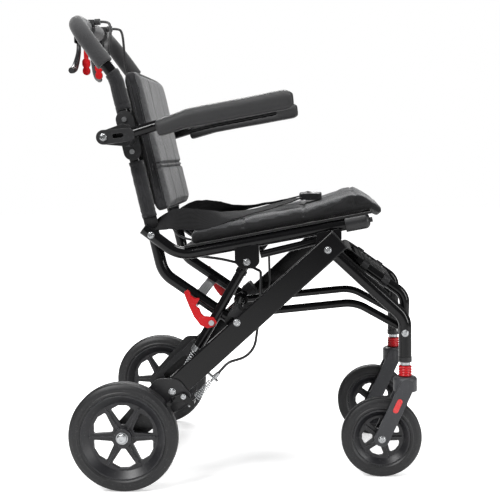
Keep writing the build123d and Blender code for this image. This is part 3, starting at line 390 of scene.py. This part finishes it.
# ---- Boots over the caster stems ------------------------------------------------------------
# Four-ribbed bellows of glossy red rubber, slipped on between the fork crown and the collar.
boot_rubber = hard_finish("boot_rubber", (0.52, 0.003, 0.008), 0.32, dust=0.2, grain=900.0,
                          depth=0.00004, rub=0.1, bare=(0.7, 0.1, 0.1, 1), edge=0.0004)
boot_low, boot_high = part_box("stem_boots")
boots = bmesh.new()
RIBS = 4
reach, neck, bore = 0.0125, 0.0100, 0.0056
turns = ((0.0, neck), (0.22, reach - 0.0006), (0.5, reach), (0.78, reach - 0.0006))
for side in (-1, 1):
    axis = Vector(((boot_low.x + boot_high.x) / 2, side * (boot_high.y - reach), boot_low.z))
    step = (boot_high.z - boot_low.z) / RIBS
    outline = [(bore, 0.0)]
    for rib in range(RIBS):
        outline += [(size, (rib + share) * step) for share, size in turns]
    outline += [(neck, RIBS * step), (bore, RIBS * step)]
    corners = [boots.verts.new(axis + Vector((r, 0, h))) for r, h in outline]
    edges = [boots.edges.new(pair) for pair in zip(corners, corners[1:] + corners[:1])]
    bmesh.ops.spin(boots, geom=corners + edges, cent=axis, axis=(0, 0, 1), angle=math.tau,
                   steps=48, use_merge=True)
boot_piece = piece_from(boots, "red_stem_boots")
cover(boot_piece, boot_rubber, "legs", "stem_boots", slot="red_plastic")


# ---- Foam grip ------------------------------------------------------------------------------
# Charcoal closed-cell foam tube, slid over the push bar round both corners, with a separate
# middle length between the two lever housings. Its cut ends are slightly rounded.
def applied(piece):
    """Makes what the modifiers show the piece's own mesh."""
    bpy.context.view_layer.update()
    shown = piece.evaluated_get(bpy.context.evaluated_depsgraph_get())
    mesh = bpy.data.meshes.new_from_object(shown)
    piece.modifiers.clear()
    piece.data = mesh
    return piece


foam_black, shader, place = new_finish("foam_black", Sheen_Weight=0.35, Sheen_Roughness=0.5)
tree = foam_black.node_tree
cells = put(tree, "TexVoronoi", Vector=place, Scale=850.0).outputs["Distance"]
lumps = put(tree, "TexNoise", Vector=place, Scale=60.0, Detail=5.0).outputs[0]
lumpy = tint(tree, lumps, (0.022, 0.022, 0.024, 1), (0.036, 0.036, 0.038, 1))
tree.links.new(tint(tree, cells, lumpy, (0.008, 0.008, 0.009, 1)), shader.inputs["Base Color"])
tree.links.new(put(tree, "MapRange", Value=lumps, To_Min=0.72, To_Max=0.92).outputs[0],
               shader.inputs["Roughness"])
deep = calc(tree, "MULTIPLY_ADD", lumps, 2.0, cells)
tree.links.new(put(tree, "Bump", Strength=0.5, Distance=0.0004, Height=deep).outputs[0],
               shader.inputs["Normal"])

PIVOT = Vector(frame["joints"][0]["pos_m"])  # the back fold's axis
foam_low, foam_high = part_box("grip_foam")
FOAM_R, CORNER_R, BACK_Y = 0.016, 0.045, 0.163
OUTER_START, MIDDLE_HALF, CUT_ROUND = 0.0728, 0.0472, 0.0025
bar_middle = Vector((foam_low.x + FOAM_R, 0.0, foam_high.z - FOAM_R))
BAR_RUN, BAR_DROP = 0.59, 0.807  # how the push bar's legs slope
bar_way = Vector((BAR_RUN, 0.0, -BAR_DROP)).normalized()


def ring_at(turn, radius, sides=40):
    """A new bmesh that holds one open ring, and the ring's edges."""
    shape = bmesh.new()
    bmesh.ops.create_circle(shape, cap_ends=False, segments=sides, radius=radius, matrix=turn)
    return shape, shape.edges[:]


def pulled(shape, ring, by, count=1):
    """Draws a ring of edges out along by, in equal steps, and returns the last ring."""
    for _ in range(count):
        made = bmesh.ops.extrude_edge_only(shape, edges=ring)["geom"]
        moved = [g for g in made if isinstance(g, bmesh.types.BMVert)]
        bmesh.ops.translate(shape, verts=moved, vec=by / count)
        ring = [g for g in made if isinstance(g, bmesh.types.BMEdge)
                and all(v in moved for v in g.verts)]
    return ring


def foam_tube(side, start_y, end_reach):
    """One foam length: from start_y along the bar, round its corner, and down the upright."""
    begin = Vector((bar_middle.x, side * start_y, bar_middle.z))
    shape, ring = ring_at(
        Matrix.Translation(begin) @ Matrix.Rotation(math.radians(90), 4, "X"), FOAM_R)
    ring = pulled(shape, ring, Vector((0, side * (BACK_Y - CORNER_R - start_y), 0)), 12)
    middle = Vector((bar_middle.x, side * (BACK_Y - CORNER_R), bar_middle.z)) + bar_way * CORNER_R
    corner = bmesh.ops.spin(
        shape, geom=ring, cent=middle, axis=Vector((0, side, 0)).cross(bar_way),
        angle=math.radians(90), steps=16)
    ring = [g for g in corner["geom_last"] if isinstance(g, bmesh.types.BMEdge)]
    pulled(shape, ring, bar_way * end_reach, 10)
    return shape


def close_ends(shape, rounding):
    """Caps the open ends of a tube and rounds their rims."""
    ends = [e for e in shape.edges if e.is_boundary]
    caps = bmesh.ops.holes_fill(shape, edges=ends, sides=0)["faces"]
    rims = list({e for f in caps for e in f.edges})
    bmesh.ops.bevel(shape, geom=rims, offset=rounding, segments=4, profile=0.5, affect="EDGES",
                    material=-1)


def wavy(piece, scale, depth, seed=0.0):
    """Presses slow dents into a soft piece, along its own normals."""
    normals = [v.normal.copy() for v in piece.data.vertices]
    for v, n in zip(piece.data.vertices, normals):
        v.co += n * (noise.noise(v.co * scale + Vector((seed, 0, 0))) * depth)


def foam_grip(shape, name, dent, seed):
    """Finishes one foam length and slides it on the bar."""
    close_ends(shape, CUT_ROUND)
    grip = piece_from(shape, name)
    wavy(grip, 26.0, dent, seed)
    cover(grip, foam_black, "back", "grip_foam", slot="foam")


foam_end = (foam_high.z - foam_low.z - 2 * FOAM_R) / BAR_DROP
for side, word in ((1, "left"), (-1, "right")):
    foam_grip(foam_tube(side, OUTER_START, foam_end - CORNER_R), f"foam_grip_{word}", 0.0011, side)
shape, ring = ring_at(Matrix.Translation((bar_middle.x, -MIDDLE_HALF, bar_middle.z))
                      @ Matrix.Rotation(math.radians(90), 4, "X"), FOAM_R)
pulled(shape, ring, Vector((0, 2 * MIDDLE_HALF, 0)), 12)
foam_grip(shape, "foam_grip_middle", 0.0009, 5.0)


# ---- Armrest pads ---------------------------------------------------------------------------
# Integral-skin foam, moulded round the tube, charcoal with a leather-like skin and soft corners.
def soft_copy(node, name, voxel, rounds):
    """A CAD solid's shape as an even, softened mesh."""
    shape = bmesh.new()
    shape.from_mesh(frame["nodes"][node].data)
    bmesh.ops.remove_doubles(shape, verts=shape.verts, dist=0.00002)
    piece = piece_from(shape, name)
    even = piece.modifiers.new("even", "REMESH")
    even.mode, even.voxel_size = "VOXEL", voxel
    applied(piece)
    shape = bmesh.new()
    shape.from_mesh(piece.data)
    for _ in range(rounds):
        bmesh.ops.smooth_vert(shape, verts=shape.verts, factor=0.5, use_axis_x=True,
                              use_axis_y=True, use_axis_z=True)
    shape.to_mesh(piece.data)
    shape.free()
    piece.data.polygons.foreach_set("use_smooth", [True] * len(piece.data.polygons))
    return piece


def refined(piece):
    fine = piece.modifiers.new("fine", "SUBSURF")
    fine.levels = fine.render_levels = 1
    applied(piece)
    piece.data.polygons.foreach_set("use_smooth", [True] * len(piece.data.polygons))
    return piece


pad_skin, shader, place = new_finish("pad_skin", Specular_IOR_Level=0.4)
tree = pad_skin.node_tree
crease_depth_and_shade = put(tree, "TexVoronoi", {"feature": "DISTANCE_TO_EDGE"}, Vector=place,
              Scale=420.0).outputs[0]
crease_depth_and_shade = put(tree, "MapRange", Value=crease_depth_and_shade, From_Max=0.12).outputs[0]
lumps = put(tree, "TexNoise", Vector=place, Scale=24.0, Detail=4.0).outputs[0]
# Painted shade: the skin is darker along the crease lines of its grain, where shade would fall; the
# slow lumps are its own uneven tone.
tree.links.new(tint(tree, crease_depth_and_shade, (0.012, 0.012, 0.013, 1),
                    tint(tree, lumps, (0.019, 0.019, 0.020, 1), (0.028, 0.028, 0.029, 1))),
               shader.inputs["Base Color"])
tree.links.new(put(tree, "MapRange", Value=lumps, To_Min=0.42, To_Max=0.62).outputs[0],
               shader.inputs["Roughness"])
tree.links.new(put(tree, "Bump", Strength=0.45, Distance=0.0003, Height=crease_depth_and_shade).outputs[0],
               shader.inputs["Normal"])


def round_top(piece, drop=0.011, deep=0.026, step=0.006):
    """Rounds the upper side over its width, like half a tube."""
    low = min(v.co.y for v in piece.data.vertices)
    high = max(v.co.y for v in piece.data.vertices)
    tops = {}
    for v in piece.data.vertices:
        at = round(v.co.x / step)
        tops[at] = max(tops.get(at, 0.0), v.co.z)
    for v in piece.data.vertices:
        at = v.co.x / step
        lower = math.floor(at)
        first, second = (tops.get(k, tops[round(at)]) for k in (lower, lower + 1))
        top = first + (second - first) * (at - lower)
        share = max(0.0, 1.0 - (top - v.co.z) / deep)
        out = min(1.0, abs(v.co.y - (low + high) / 2) / ((high - low) / 2))
        v.co.z -= drop * share * (1.0 - math.sqrt(1.0 - 0.97 * out * out))


for side in ("left", "right"):
    pad = soft_copy(f"arm_pad_{side}", f"armrest_pad_{side}", 0.0028, 4)
    round_top(pad)
    refined(pad)
    wavy(pad, 18.0, 0.0006)
    cover(pad, pad_skin, f"armrest_{side}", f"arm_pad_{side}", slot="pad_foam")

# ---- Cloth finishes -------------------------------------------------------------------------
# Woven nylon: over-and-under yarns at about a millimetre, slightly uneven in shade. Where each yarn
# dips under the next, the colour goes to a darker gap colour, which is painted shade.
weave, given, result = new_effect(
    "weave",
    [("Place", "vector", None), ("Across", "value", 0.0), ("Along", "value", 0.0),
     ("Pitch", "value", 0.0012), ("Yarn", "colour", (0.2, 0.2, 0.2, 1)),
     ("Gap", "colour", (0.05, 0.05, 0.05, 1))],
    [("Colour", "colour"), ("Height", "value")],
)
u = calc(weave, "DIVIDE", given["Across"], given["Pitch"])
v = calc(weave, "DIVIDE", given["Along"], given["Pitch"])
warp = calc(weave, "ABSOLUTE", calc(weave, "SINE", calc(weave, "MULTIPLY", u, math.pi)))
weft = calc(weave, "ABSOLUTE", calc(weave, "SINE", calc(weave, "MULTIPLY", v, math.pi)))
over = calc(weave, "FLOORED_MODULO", calc(weave, "ADD", calc(weave, "FLOOR", u),
                                          calc(weave, "FLOOR", v)), 2.0)
yarns = calc(weave, "ADD", calc(weave, "MULTIPLY", warp, over),
             calc(weave, "MULTIPLY", weft, calc(weave, "SUBTRACT", 1.0, over)))
slub = put(weave, "TexNoise", Vector=given["Place"], Scale=170.0, Detail=4.0).outputs[0]
fade = put(weave, "TexNoise", Vector=given["Place"], Scale=9.0, Detail=3.0).outputs[0]
tone = calc(weave, "ADD", calc(weave, "MULTIPLY", slub, 0.7), calc(weave, "MULTIPLY", fade, 0.6))
lit = put(weave, "VectorMath", {"operation": "SCALE"}, _0=given["Yarn"],
          Scale=calc(weave, "ADD", tone, 0.35)).outputs[0]
# Painted shade: the colour falls to the gap colour where the yarns dip between each other.
weave.links.new(tint(weave, yarns, given["Gap"], lit), result["Colour"])
weave.links.new(calc(weave, "MULTIPLY_ADD", slub, 0.4, yarns), result["Height"])

LEAN = 0.2177  # the back tubes' lean from upright, in radians
lean_up = Vector((-math.sin(LEAN), 0.0, math.cos(LEAN)))
lean_ahead = Vector((math.cos(LEAN), 0.0, math.sin(LEAN)))


# The first colour is the yarn's own; the second is painted shade for the gaps between the yarns.
def cloth_finish(name, yarn, gap, pitch, turn, flat_axes, sheen=0.4):
    """A woven finish. turn tips the pattern about Y, flat_axes are its two directions."""
    made, shader, place = new_finish(name, Roughness=0.85, Sheen_Weight=sheen, Sheen_Roughness=0.4,
                                     Specular_IOR_Level=0.25)
    tree = made.node_tree
    tipped = put(tree, "Mapping", Vector=place, Rotation=(0.0, turn, 0.0)).outputs[0]
    apart = put(tree, "SeparateXYZ", Vector=tipped).outputs
    woven = effect(tree, weave, Place=place, Across=apart[flat_axes[0]], Along=apart[flat_axes[1]],
                   Pitch=pitch, Yarn=(*yarn, 1), Gap=(*gap, 1))
    tree.links.new(woven["Colour"], shader.inputs["Base Color"])
    bump = put(tree, "Bump", Strength=0.55, Distance=0.0003, Height=woven["Height"])
    tree.links.new(bump.outputs[0], shader.inputs["Normal"])
    return made


# Each cloth's second colour is the painted shade between its yarns.
back_grey = cloth_finish("back_cloth_grey", (0.098, 0.099, 0.102), (0.030, 0.030, 0.032), 0.0015,
                         LEAN, ("Y", "Z"))
back_black = cloth_finish("back_cloth_black", (0.024, 0.024, 0.026), (0.006, 0.006, 0.007), 0.0013,
                          LEAN, ("Y", "Z"))
seat_grey = cloth_finish("seat_cloth_grey", (0.034, 0.035, 0.037), (0.02, 0.02, 0.022), 0.0015,
                         0.0, ("Y", "X"))
seat_black = cloth_finish("seat_cloth_black", (0.014, 0.014, 0.015), (0.004, 0.004, 0.004), 0.0013,
                          0.0, ("Y", "X"))
webbing_black = cloth_finish("webbing_black", (0.010, 0.010, 0.011), (0.003, 0.003, 0.003), 0.0021,
                             0.0, ("Y", "X"), sheen=0.05)


# ---- Padded backrest ------------------------------------------------------------------------
# Grey woven cover over a foam slab, with a rounded top, two upright stitched channels, one
# level double seam and piping round its edge. Hook tape holds it on the panel behind.
FILL_FRAMES = 20


def puffed(piece, pressure, limit):
    """Fills a soft piece by cloth simulation, each point moving no further than limit."""
    start = [v.co.copy() for v in piece.data.vertices]
    cloth = piece.modifiers.new("fill", "CLOTH")
    cloth.settings.use_pressure = True
    cloth.settings.uniform_pressure_force = pressure
    cloth.settings.effector_weights.gravity = 0.0
    cloth.settings.quality = 4
    cloth.point_cache.frame_start, cloth.point_cache.frame_end = 1, FILL_FRAMES
    for moment in range(1, FILL_FRAMES + 1):
        scene.frame_set(moment)
    applied(piece)
    scene.frame_set(1)
    for v, was in zip(piece.data.vertices, start):
        move = v.co - was
        if move.length > limit:
            v.co = was + move * (limit / move.length)


def drawn_in(piece, amount):
    """Shrinks the piece about its middle by a share, so that it starts small and can swell."""
    middle = sum((v.co for v in piece.data.vertices), Vector()) / len(piece.data.vertices)
    for v in piece.data.vertices:
        v.co = middle + (v.co - middle) * (1 - amount)


def groove(piece, depth, width, measure, keep):
    """Sinks a sewn line where measure(co), a distance in metres, is near nothing."""
    normals = [v.normal.copy() for v in piece.data.vertices]
    for v, n in zip(piece.data.vertices, normals):
        if keep(v.co):
            v.co -= n * depth * math.exp(-((measure(v.co) / width) ** 2))


def up_back(co):
    return (co - PIVOT).dot(lean_up)


def off_back(co):
    return (co - PIVOT).dot(lean_ahead)


def rim_faces(piece, finish, way, least):
    """Gives a second cloth to the sides and rear, where the face turns from the way given."""
    piece.data.materials.append(finish)
    for face in piece.data.polygons:
        face.material_index = int(face.normal.dot(way) < least)


back_pad = soft_copy("back_pad", "backrest_pad", 0.005, 3)
drawn_in(back_pad, 0.02)
puffed(back_pad, 3.2, 0.005)
refined(back_pad)
pad_middle = sum(off_back(v.co) for v in back_pad.data.vertices) / len(back_pad.data.vertices)
front_face = lambda co: off_back(co) > pad_middle
for line in (-0.062, 0.062):
    groove(back_pad, 0.0013, 0.0030, lambda co, y=line: co.y - y, front_face)
for level_at in (0.117, 0.1245):
    groove(back_pad, 0.0036, 0.0022, lambda co, s=level_at: up_back(co) - s, front_face)
wavy(back_pad, 16.0, 0.0018, 2.0)
cover(back_pad, back_grey, "back", "back_pad", slot="cloth_grey")
rim_faces(back_pad, back_black, lean_ahead, 0.55)


def smooth_line(name, points, resolution, thick=0.0, closed=False, swell=None):
    """The mesh of a smooth curve, round where thick is given and bare where it isn't."""
    line = bpy.data.curves.new(name, "CURVE")
    line.dimensions, line.bevel_depth, line.bevel_resolution = "3D", thick / 2, 3
    line.use_fill_caps, line.resolution_u = True, resolution
    spline = line.splines.new("NURBS")
    spline.points.add(len(points) - 1)
    for i, (point, co) in enumerate(zip(spline.points, points)):
        point.co = (*co, 1.0)
        point.radius = swell[i] if swell else 1.0
    spline.order_u = 3
    spline.use_endpoint_u = not closed
    spline.use_cyclic_u = closed
    holder = bpy.data.objects.new(name, line)
    scene.collection.objects.link(holder)
    bpy.context.view_layer.update()
    mesh = bpy.data.meshes.new_from_object(
        holder.evaluated_get(bpy.context.evaluated_depsgraph_get()))
    bpy.data.objects.remove(holder)
    return mesh


def round_path(name, points, thick, closed=False, swell=None):
    """A cord-like piece along a smooth line. swell gives its relative size at each point."""
    mesh = smooth_line(name, points, 8, thick, closed, swell)
    piece = bpy.data.objects.new(name, mesh)
    scene.collection.objects.link(piece)
    mesh.polygons.foreach_set("use_smooth", [True] * len(mesh.polygons))
    return piece


pad_low_s = min(up_back(v.co) for v in back_pad.data.vertices)
pad_top_s = max(up_back(v.co) for v in back_pad.data.vertices)
pad_half = max(v.co.y for v in back_pad.data.vertices)


def back_at(s, y, a):
    return PIVOT + lean_up * s + lean_ahead * a + Vector((0, y, 0))


INSET, ROUND = 0.0012, 0.03  # the piping's place inside the pad's outline, and its corners
low_s, top_s, side = pad_low_s + INSET, pad_top_s - INSET, pad_half - INSET
for word, at in (("front", pad_middle + 0.0065), ("rear", pad_middle - 0.0065)):
    points = []
    for s, y in ((low_s, -side), (top_s, -side), (top_s, side), (low_s, side)):
        cs, cy = (ROUND if s == low_s else -ROUND), (ROUND if y < 0 else -ROUND)
        spots = [back_at(s + cs, y, at), back_at(s + cs / 5, y + cy / 12, at),
                 back_at(s + cs / 12, y + cy / 5, at), back_at(s, y + cy, at)]
        points += spots if (s == low_s) == (y > 0) else spots[::-1]
    piping = round_path(f"backrest_piping_{word}", points, 0.0034, closed=True)
    cover(piping, back_black, "back", slot="cloth_black")

# ---- Back sleeves and panel -----------------------------------------------------------------
# Black nylon sleeves wrap both back tubes above and below the armrest clamps, and a doubled
# panel is sewn between them behind the pad.
SLEEVE_R = 0.0138
BEND_S, BEND_R, BEND_MOST = 0.281, 0.060, 0.415  # where the tube turns back to the bar


def thickened(piece, thickness, offset=0):
    """Gives a surface its cloth's thickness."""
    thick = piece.modifiers.new("cloth", "SOLIDIFY")
    thick.thickness, thick.offset = thickness, offset
    applied(piece)


def tube_ring(s, side, radius):
    """A ring square to a back tube, s up from the pivot."""
    return ring_at(Matrix.Translation(back_at(s, side * BACK_Y, 0))
                   @ Matrix.Rotation(-LEAN, 4, "Y"), radius)


for side, word in ((1, "left"), (-1, "right")):
    for part, s0, s1 in (("lower", 0.032, 0.1375), ("upper", 0.2345, 0.306)):
        shape, ring = tube_ring(s0, side, SLEEVE_R)
        pulled(shape, ring, lean_up * (s1 - s0), 24)
        sleeve = piece_from(shape, f"back_sleeve_{part}_{word}")
        for v in sleeve.data.vertices:
            s = up_back(v.co)
            hem = min(s - s0, s1 - s)
            ripple = noise.noise(Vector((v.co.x * 20, v.co.y * 20, s * 90 + side * 3)))
            out = v.co - back_at(s, side * BACK_Y, 0)
            size = 1.0 + 0.05 * ripple - (0.06 if 0.006 < hem < 0.009 else 0.0)
            bent = min(max(0.0, s - BEND_S) / BEND_R, BEND_MOST)
            swing = Matrix.Rotation(-bent, 3, "Y")
            v.co = (back_at(min(s, BEND_S), side * BACK_Y, 0) + swing @ (out * size)
                    + lean_up * math.sin(bent) * BEND_R
                    - lean_ahead * (1 - math.cos(bent)) * BEND_R)
        thickened(sleeve, 0.0016, -1)
        cover(sleeve, back_black, "back", "back_cover", slot="cloth_black")

shape = bmesh.new()
bmesh.ops.create_grid(shape, x_segments=60, y_segments=44, size=1.0)
PANEL_HALF, PANEL_LOW, PANEL_TOP = 0.1495, 0.052, 0.282
for v in shape.verts:
    y, s = v.co.x * PANEL_HALF, PANEL_LOW + (v.co.y + 1) / 2 * (PANEL_TOP - PANEL_LOW)
    sag = -0.0035 * (1 - (y / PANEL_HALF) ** 2)
    pull = 0.0012 * noise.noise(Vector((y * 25, s * 18, 1.0)))
    v.co = back_at(s, y, sag + pull)
panel = piece_from(shape, "back_panel")
thickened(panel, 0.0022)
cover(panel, back_black, "back", "back_cover", slot="cloth_black")

# ---- Seat base ------------------------------------------------------------------------------
# A doubled black nylon sling, stretched over both rails and sewn round them, with bound edges.
sling_low, sling_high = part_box("seat_sling")
SLING_T = 0.004
sling_deep = sling_high.x - sling_low.x
RISE = (sling_high.z - sling_low.z - SLING_T) / sling_deep
shape = bmesh.new()
bmesh.ops.create_grid(shape, x_segments=56, y_segments=64, size=1.0)
half = sling_high.y
for v in shape.verts:
    x = sling_low.x + (v.co.x + 1) / 2 * sling_deep
    y = v.co.y * half
    middle = max(0.0, 1 - (y / (half * 0.93)) ** 2)
    sag = 0.0045 * middle * math.sin(math.pi * (v.co.x + 1) / 2)
    z = sling_low.z + RISE * (x - sling_low.x) + 0.0024 - sag
    v.co = Vector((x, y, z + 0.0006 * noise.noise(Vector((x * 40, y * 30, 0)))))
sling = piece_from(shape, "seat_base_sling")
thickened(sling, 0.0026)
cover(sling, seat_black, "frame", "seat_sling", slot="cloth_black")
for side, word in ((1, "left"), (-1, "right")):
    edge = [Vector((sling_low.x + share * sling_deep, side * (half - 0.0015),
                    sling_low.z + RISE * share * sling_deep + 0.0022))
            for share in (0, 0.3, 0.6, 0.85, 1)]
    binding = round_path(f"sling_binding_{word}", edge, 0.0044)
    cover(binding, seat_black, "frame", slot="cloth_black")

# ---- Seat cushion ---------------------------------------------------------------------------
# A thin padded cushion in grey woven cover, sewn in soft channels, whose front edge curls up
# and rolls over. It lies loose on the sling.
cushion = soft_copy("seat_pad", "seat_cushion", 0.0055, 3)
drawn_in(cushion, 0.015)
puffed(cushion, 3.0, 0.006)
refined(cushion)
cushion_middle = sum(v.co.z - RISE * v.co.x for v in cushion.data.vertices) / len(
    cushion.data.vertices)
top_face = lambda co: co.z - RISE * co.x > cushion_middle
for line in (-0.095, 0.0, 0.095):
    groove(cushion, 0.0034, 0.0040, lambda co, y=line: co.y - y, top_face)
for line in (0.0, 0.11, 0.205):
    groove(cushion, 0.0030, 0.0034, lambda co, x=line: co.x - x, top_face)
upward = [max(0.0, v.normal.z) ** 2 for v in cushion.data.vertices]
for v, share in zip(cushion.data.vertices, upward):
    if top_face(v.co):
        crumple = noise.noise(Vector((v.co.x * 22, v.co.y * 12, 3.0)))
        fold = noise.noise(Vector((v.co.x * 60 + v.co.y * 25, v.co.y * 45, 8.0)))
        v.co.z += (0.0038 * crumple + 0.0012 * fold - 0.0030) * share
cover(cushion, seat_grey, "frame", "seat_pad", slot="cloth_grey")
rim_faces(cushion, seat_black, Vector((0, 0, 1)), 0.62)
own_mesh(cushion)


# ---- Lap belt -------------------------------------------------------------------------------
# Two lengths of 40 mm black webbing, sewn to the back tubes, lie across the cushion and meet in
# a side-release buckle.
def ribbon(name, path, width, thick, seed, stand):
    """Webbing along a line. stand gives its tip from flat, for each share of its length."""
    spots = [v.co.copy() for v in smooth_line(name, path, 10).vertices]
    shape = bmesh.new()
    last = None
    for i, spot in enumerate(spots):
        ahead = (spots[min(i + 1, len(spots) - 1)] - spots[max(i - 1, 0)]).normalized()
        across = Vector((0, 0, 1)).cross(ahead).normalized()
        across = Matrix.Rotation(stand(i / (len(spots) - 1)), 3, ahead) @ across
        row = []
        for k in range(7):
            t = k / 6 - 0.5
            curl = 0.0010 * noise.noise(Vector((i * 0.25, t * 3, seed)))
            row.append(shape.verts.new(spot + across * (t * width) + Vector((0, 0, curl))))
        if last:
            for k in range(6):
                shape.faces.new((last[k], last[k + 1], row[k + 1], row[k]))
        last = row
    piece = piece_from(shape, name)
    body = piece.modifiers.new("thick", "SOLIDIFY")
    body.thickness, body.offset = thick, 0
    round_edges = piece.modifiers.new("edges", "BEVEL")
    round_edges.width, round_edges.segments = 0.0005, 2
    applied(piece)
    piece.data.polygons.foreach_set("use_smooth", [True] * len(piece.data.polygons))
    return piece


buckle_low, buckle_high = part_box("belt_buckle")
for side, word in ((1, "left"), (-1, "right")):
    path = [(-0.1660, 0.1600, 0.4770), (-0.1480, 0.1650, 0.4850), (-0.1250, 0.1705, 0.4895),
            (-0.0980, 0.1725, 0.4885), (-0.0680, 0.1700, 0.4870), (-0.0300, 0.1500, 0.4925),
            (0.0200, 0.1120, 0.5000), (0.0600, 0.0740, 0.5085), (0.0960, 0.0440, 0.5190)]
    path = [(x, side * y, z) for x, y, z in path]
    lean = [-side * turn for turn in (0.5, 0.9, 1.3, 1.35, 1.05, 0.35, 0.05, 0.0, -0.1)]

    def stand(share):
        at = share * (len(lean) - 1.001)
        return lean[int(at)] * (1 - at % 1) + lean[int(at) + 1] * (at % 1)

    shape, ring = tube_ring(0.006, side, 0.0128)
    pulled(shape, ring, lean_up * 0.026)
    loop = piece_from(shape, f"belt_loop_{word}")
    thickened(loop, 0.0014, -1)
    cover(loop, webbing_black, "back", slot="webbing")
    strap = ribbon(f"belt_webbing_{word}", path, 0.040, 0.0018, side, stand)
    cover(strap, webbing_black, "frame", "belt_straps", slot="webbing")
    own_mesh(strap)

buckle_black = hard_finish("buckle_black", (0.016, 0.016, 0.017), 0.34, dust=0.2, grain=1300.0,
                           depth=0.00006, rub=0.3, bare=(0.1, 0.1, 0.1, 1), edge=0.0010)
middle = (buckle_low + buckle_high) / 2
half = (buckle_high - buckle_low) / 2


def buckle_half(name, y0, y1):
    """A flat moulded half, waisted to its ends, with a sunk panel on top."""
    shape = bmesh.new()
    bmesh.ops.create_cube(shape, size=1.0)
    bmesh.ops.scale(shape, verts=shape.verts, vec=(2 * half.x * 0.96, y1 - y0, 2 * half.z * 0.86))
    bmesh.ops.translate(shape, verts=shape.verts, vec=(middle.x, (y0 + y1) / 2, middle.z))
    bmesh.ops.subdivide_edges(shape, edges=shape.edges[:], cuts=5, use_grid_fill=True)
    for v in shape.verts:
        across = (v.co.x - middle.x) / half.x
        along = (v.co.y - (y0 + y1) / 2) / ((y1 - y0) / 2)
        v.co.x -= across * half.x * 0.16 * abs(along) ** 3
        v.co.z += (1 - across ** 2) * 0.0012 * (1 if v.co.z > middle.z else -0.4)
    tops = [f for f in shape.faces if f.normal.z > 0.8
            and abs((f.calc_center_median().x - middle.x) / half.x) < 0.45
            and abs((f.calc_center_median().y - (y0 + y1) / 2) / ((y1 - y0) / 2)) < 0.62]
    bmesh.ops.inset_region(shape, faces=tops, thickness=0.0012, depth=-0.0012)
    corners = [e for e in shape.edges if len(e.link_faces) == 2
               and e.calc_face_angle(0.0) > math.radians(50)]
    bmesh.ops.bevel(shape, geom=corners, offset=0.0016, segments=3, profile=0.5, affect="EDGES",
                    material=-1)
    made = piece_from(shape, name)
    cover(made, buckle_black, "frame", "belt_buckle", slot="plastic_black")


buckle_half("buckle_socket", middle.y + 0.0015, buckle_high.y)
buckle_half("buckle_tongue", buckle_low.y, middle.y - 0.0002)

# ---- Brake cables ---------------------------------------------------------------------------
# Black 5 mm cable housing, one each side: from the lever down the back tube, in a slack bow over
# the fold pivot, and down inside the beam to the brake.
cable_skin = hard_finish("cable_skin", (0.014, 0.014, 0.015), 0.38, dust=0.3, grain=1200.0,
                         depth=0.00005, rub=0.1, bare=(0.05, 0.05, 0.05, 1), edge=0.0003)
dress("cables_lower", cable_skin)
CABLE_D, LEVER_Y, RUN_Y, BAR_TOP_Z = 0.005, 0.060, 0.142, 0.864
guide = PIVOT + lean_up * 0.262 - lean_ahead * 0.015
tube_foot = PIVOT + lean_up * 0.042 - lean_ahead * 0.008
upper = [(-0.2763, LEVER_Y, BAR_TOP_Z), (-0.2670, LEVER_Y, BAR_TOP_Z), (-0.2575, 0.061, 0.860),
         (-0.2560, 0.072, 0.828), (-0.2595, 0.092, 0.784),
         (guide.x - 0.002, 0.132, guide.z + 0.020), (guide.x + 0.004, RUN_Y, guide.z - 0.030),
         (tube_foot.x, RUN_Y, tube_foot.z)]
crossing = [(tube_foot.x, RUN_Y, tube_foot.z), (tube_foot.x + 0.0075, RUN_Y, tube_foot.z - 0.038),
            (tube_foot.x + 0.020, RUN_Y, tube_foot.z - 0.072), (-0.0900, 0.1462, 0.418),
            (-0.0288, 0.1500, 0.411), (0.0173, 0.1720, 0.398)]
for side, word in ((1, "left"), (-1, "right")):
    path = [(x, side * y, z) for x, y, z in upper]
    cover(round_path(f"cable_upper_{word}", path, CABLE_D), cable_skin, "back", "cables_upper",
          slot="cable_black")
    path = [(x, side * y, z) for x, y, z in crossing]
    piece = round_path(f"cable_crossing_{word}", path, CABLE_D)
    piece.data.materials.append(cable_skin)
    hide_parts("cables_upper")
    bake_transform(piece)

# ---- Carer's brake levers ---------------------------------------------------------------------
# Each lever is moulded nylon over a steel core: slim at its pivot in the housing, it cranks
# outward under the bar and swells to a round grip. A knurled black barrel sets its cable.
lever_skin = hard_finish("lever_skin", (0.020, 0.020, 0.022), 0.40, dust=0.08, grain=1300.0,
                         depth=0.00010, rub=0.2, bare=(0.08, 0.08, 0.08, 1), edge=0.0008)
for side, word in ((1, "left"), (-1, "right")):
    low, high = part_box(f"brake_lever_{word}")
    x, top = (low.x + high.x) / 2, high.z - 0.0052
    bends = [(x, 0.0600, top), (x, 0.0605, top - 0.012), (x, 0.0635, top - 0.027),
             (x, 0.0800, top - 0.044), (x - 0.0005, 0.0960, top - 0.058),
             (x, 0.1150, top - 0.0645), (x, 0.1300, top - 0.0660)]
    lever = round_path(f"brake_lever_grip_{word}", [(a, side * b, c) for a, b, c in bends], 0.010,
                       swell=[0.8, 0.85, 0.95, 1.15, 1.3, 1.35, 1.2])
    cover(lever, lever_skin, f"brake_lever_{word}", f"brake_lever_{word}", slot="plastic_black")
    start = Vector((-0.2882, side * LEVER_Y, BAR_TOP_Z))
    shape, ring = ring_at(
        Matrix.Translation(start) @ Matrix.Rotation(math.radians(90), 4, "Y"), 0.0060, 36)
    for v in shape.verts[:][::3]:
        v.co -= (v.co - start) * 0.10
    pulled(shape, ring, Vector((0.0108, 0, 0)))
    close_ends(shape, 0.0010)
    barrel = piece_from(shape, f"adjuster_barrel_{word}", False)
    cover(barrel, nylon_black, "back", slot="plastic_black")
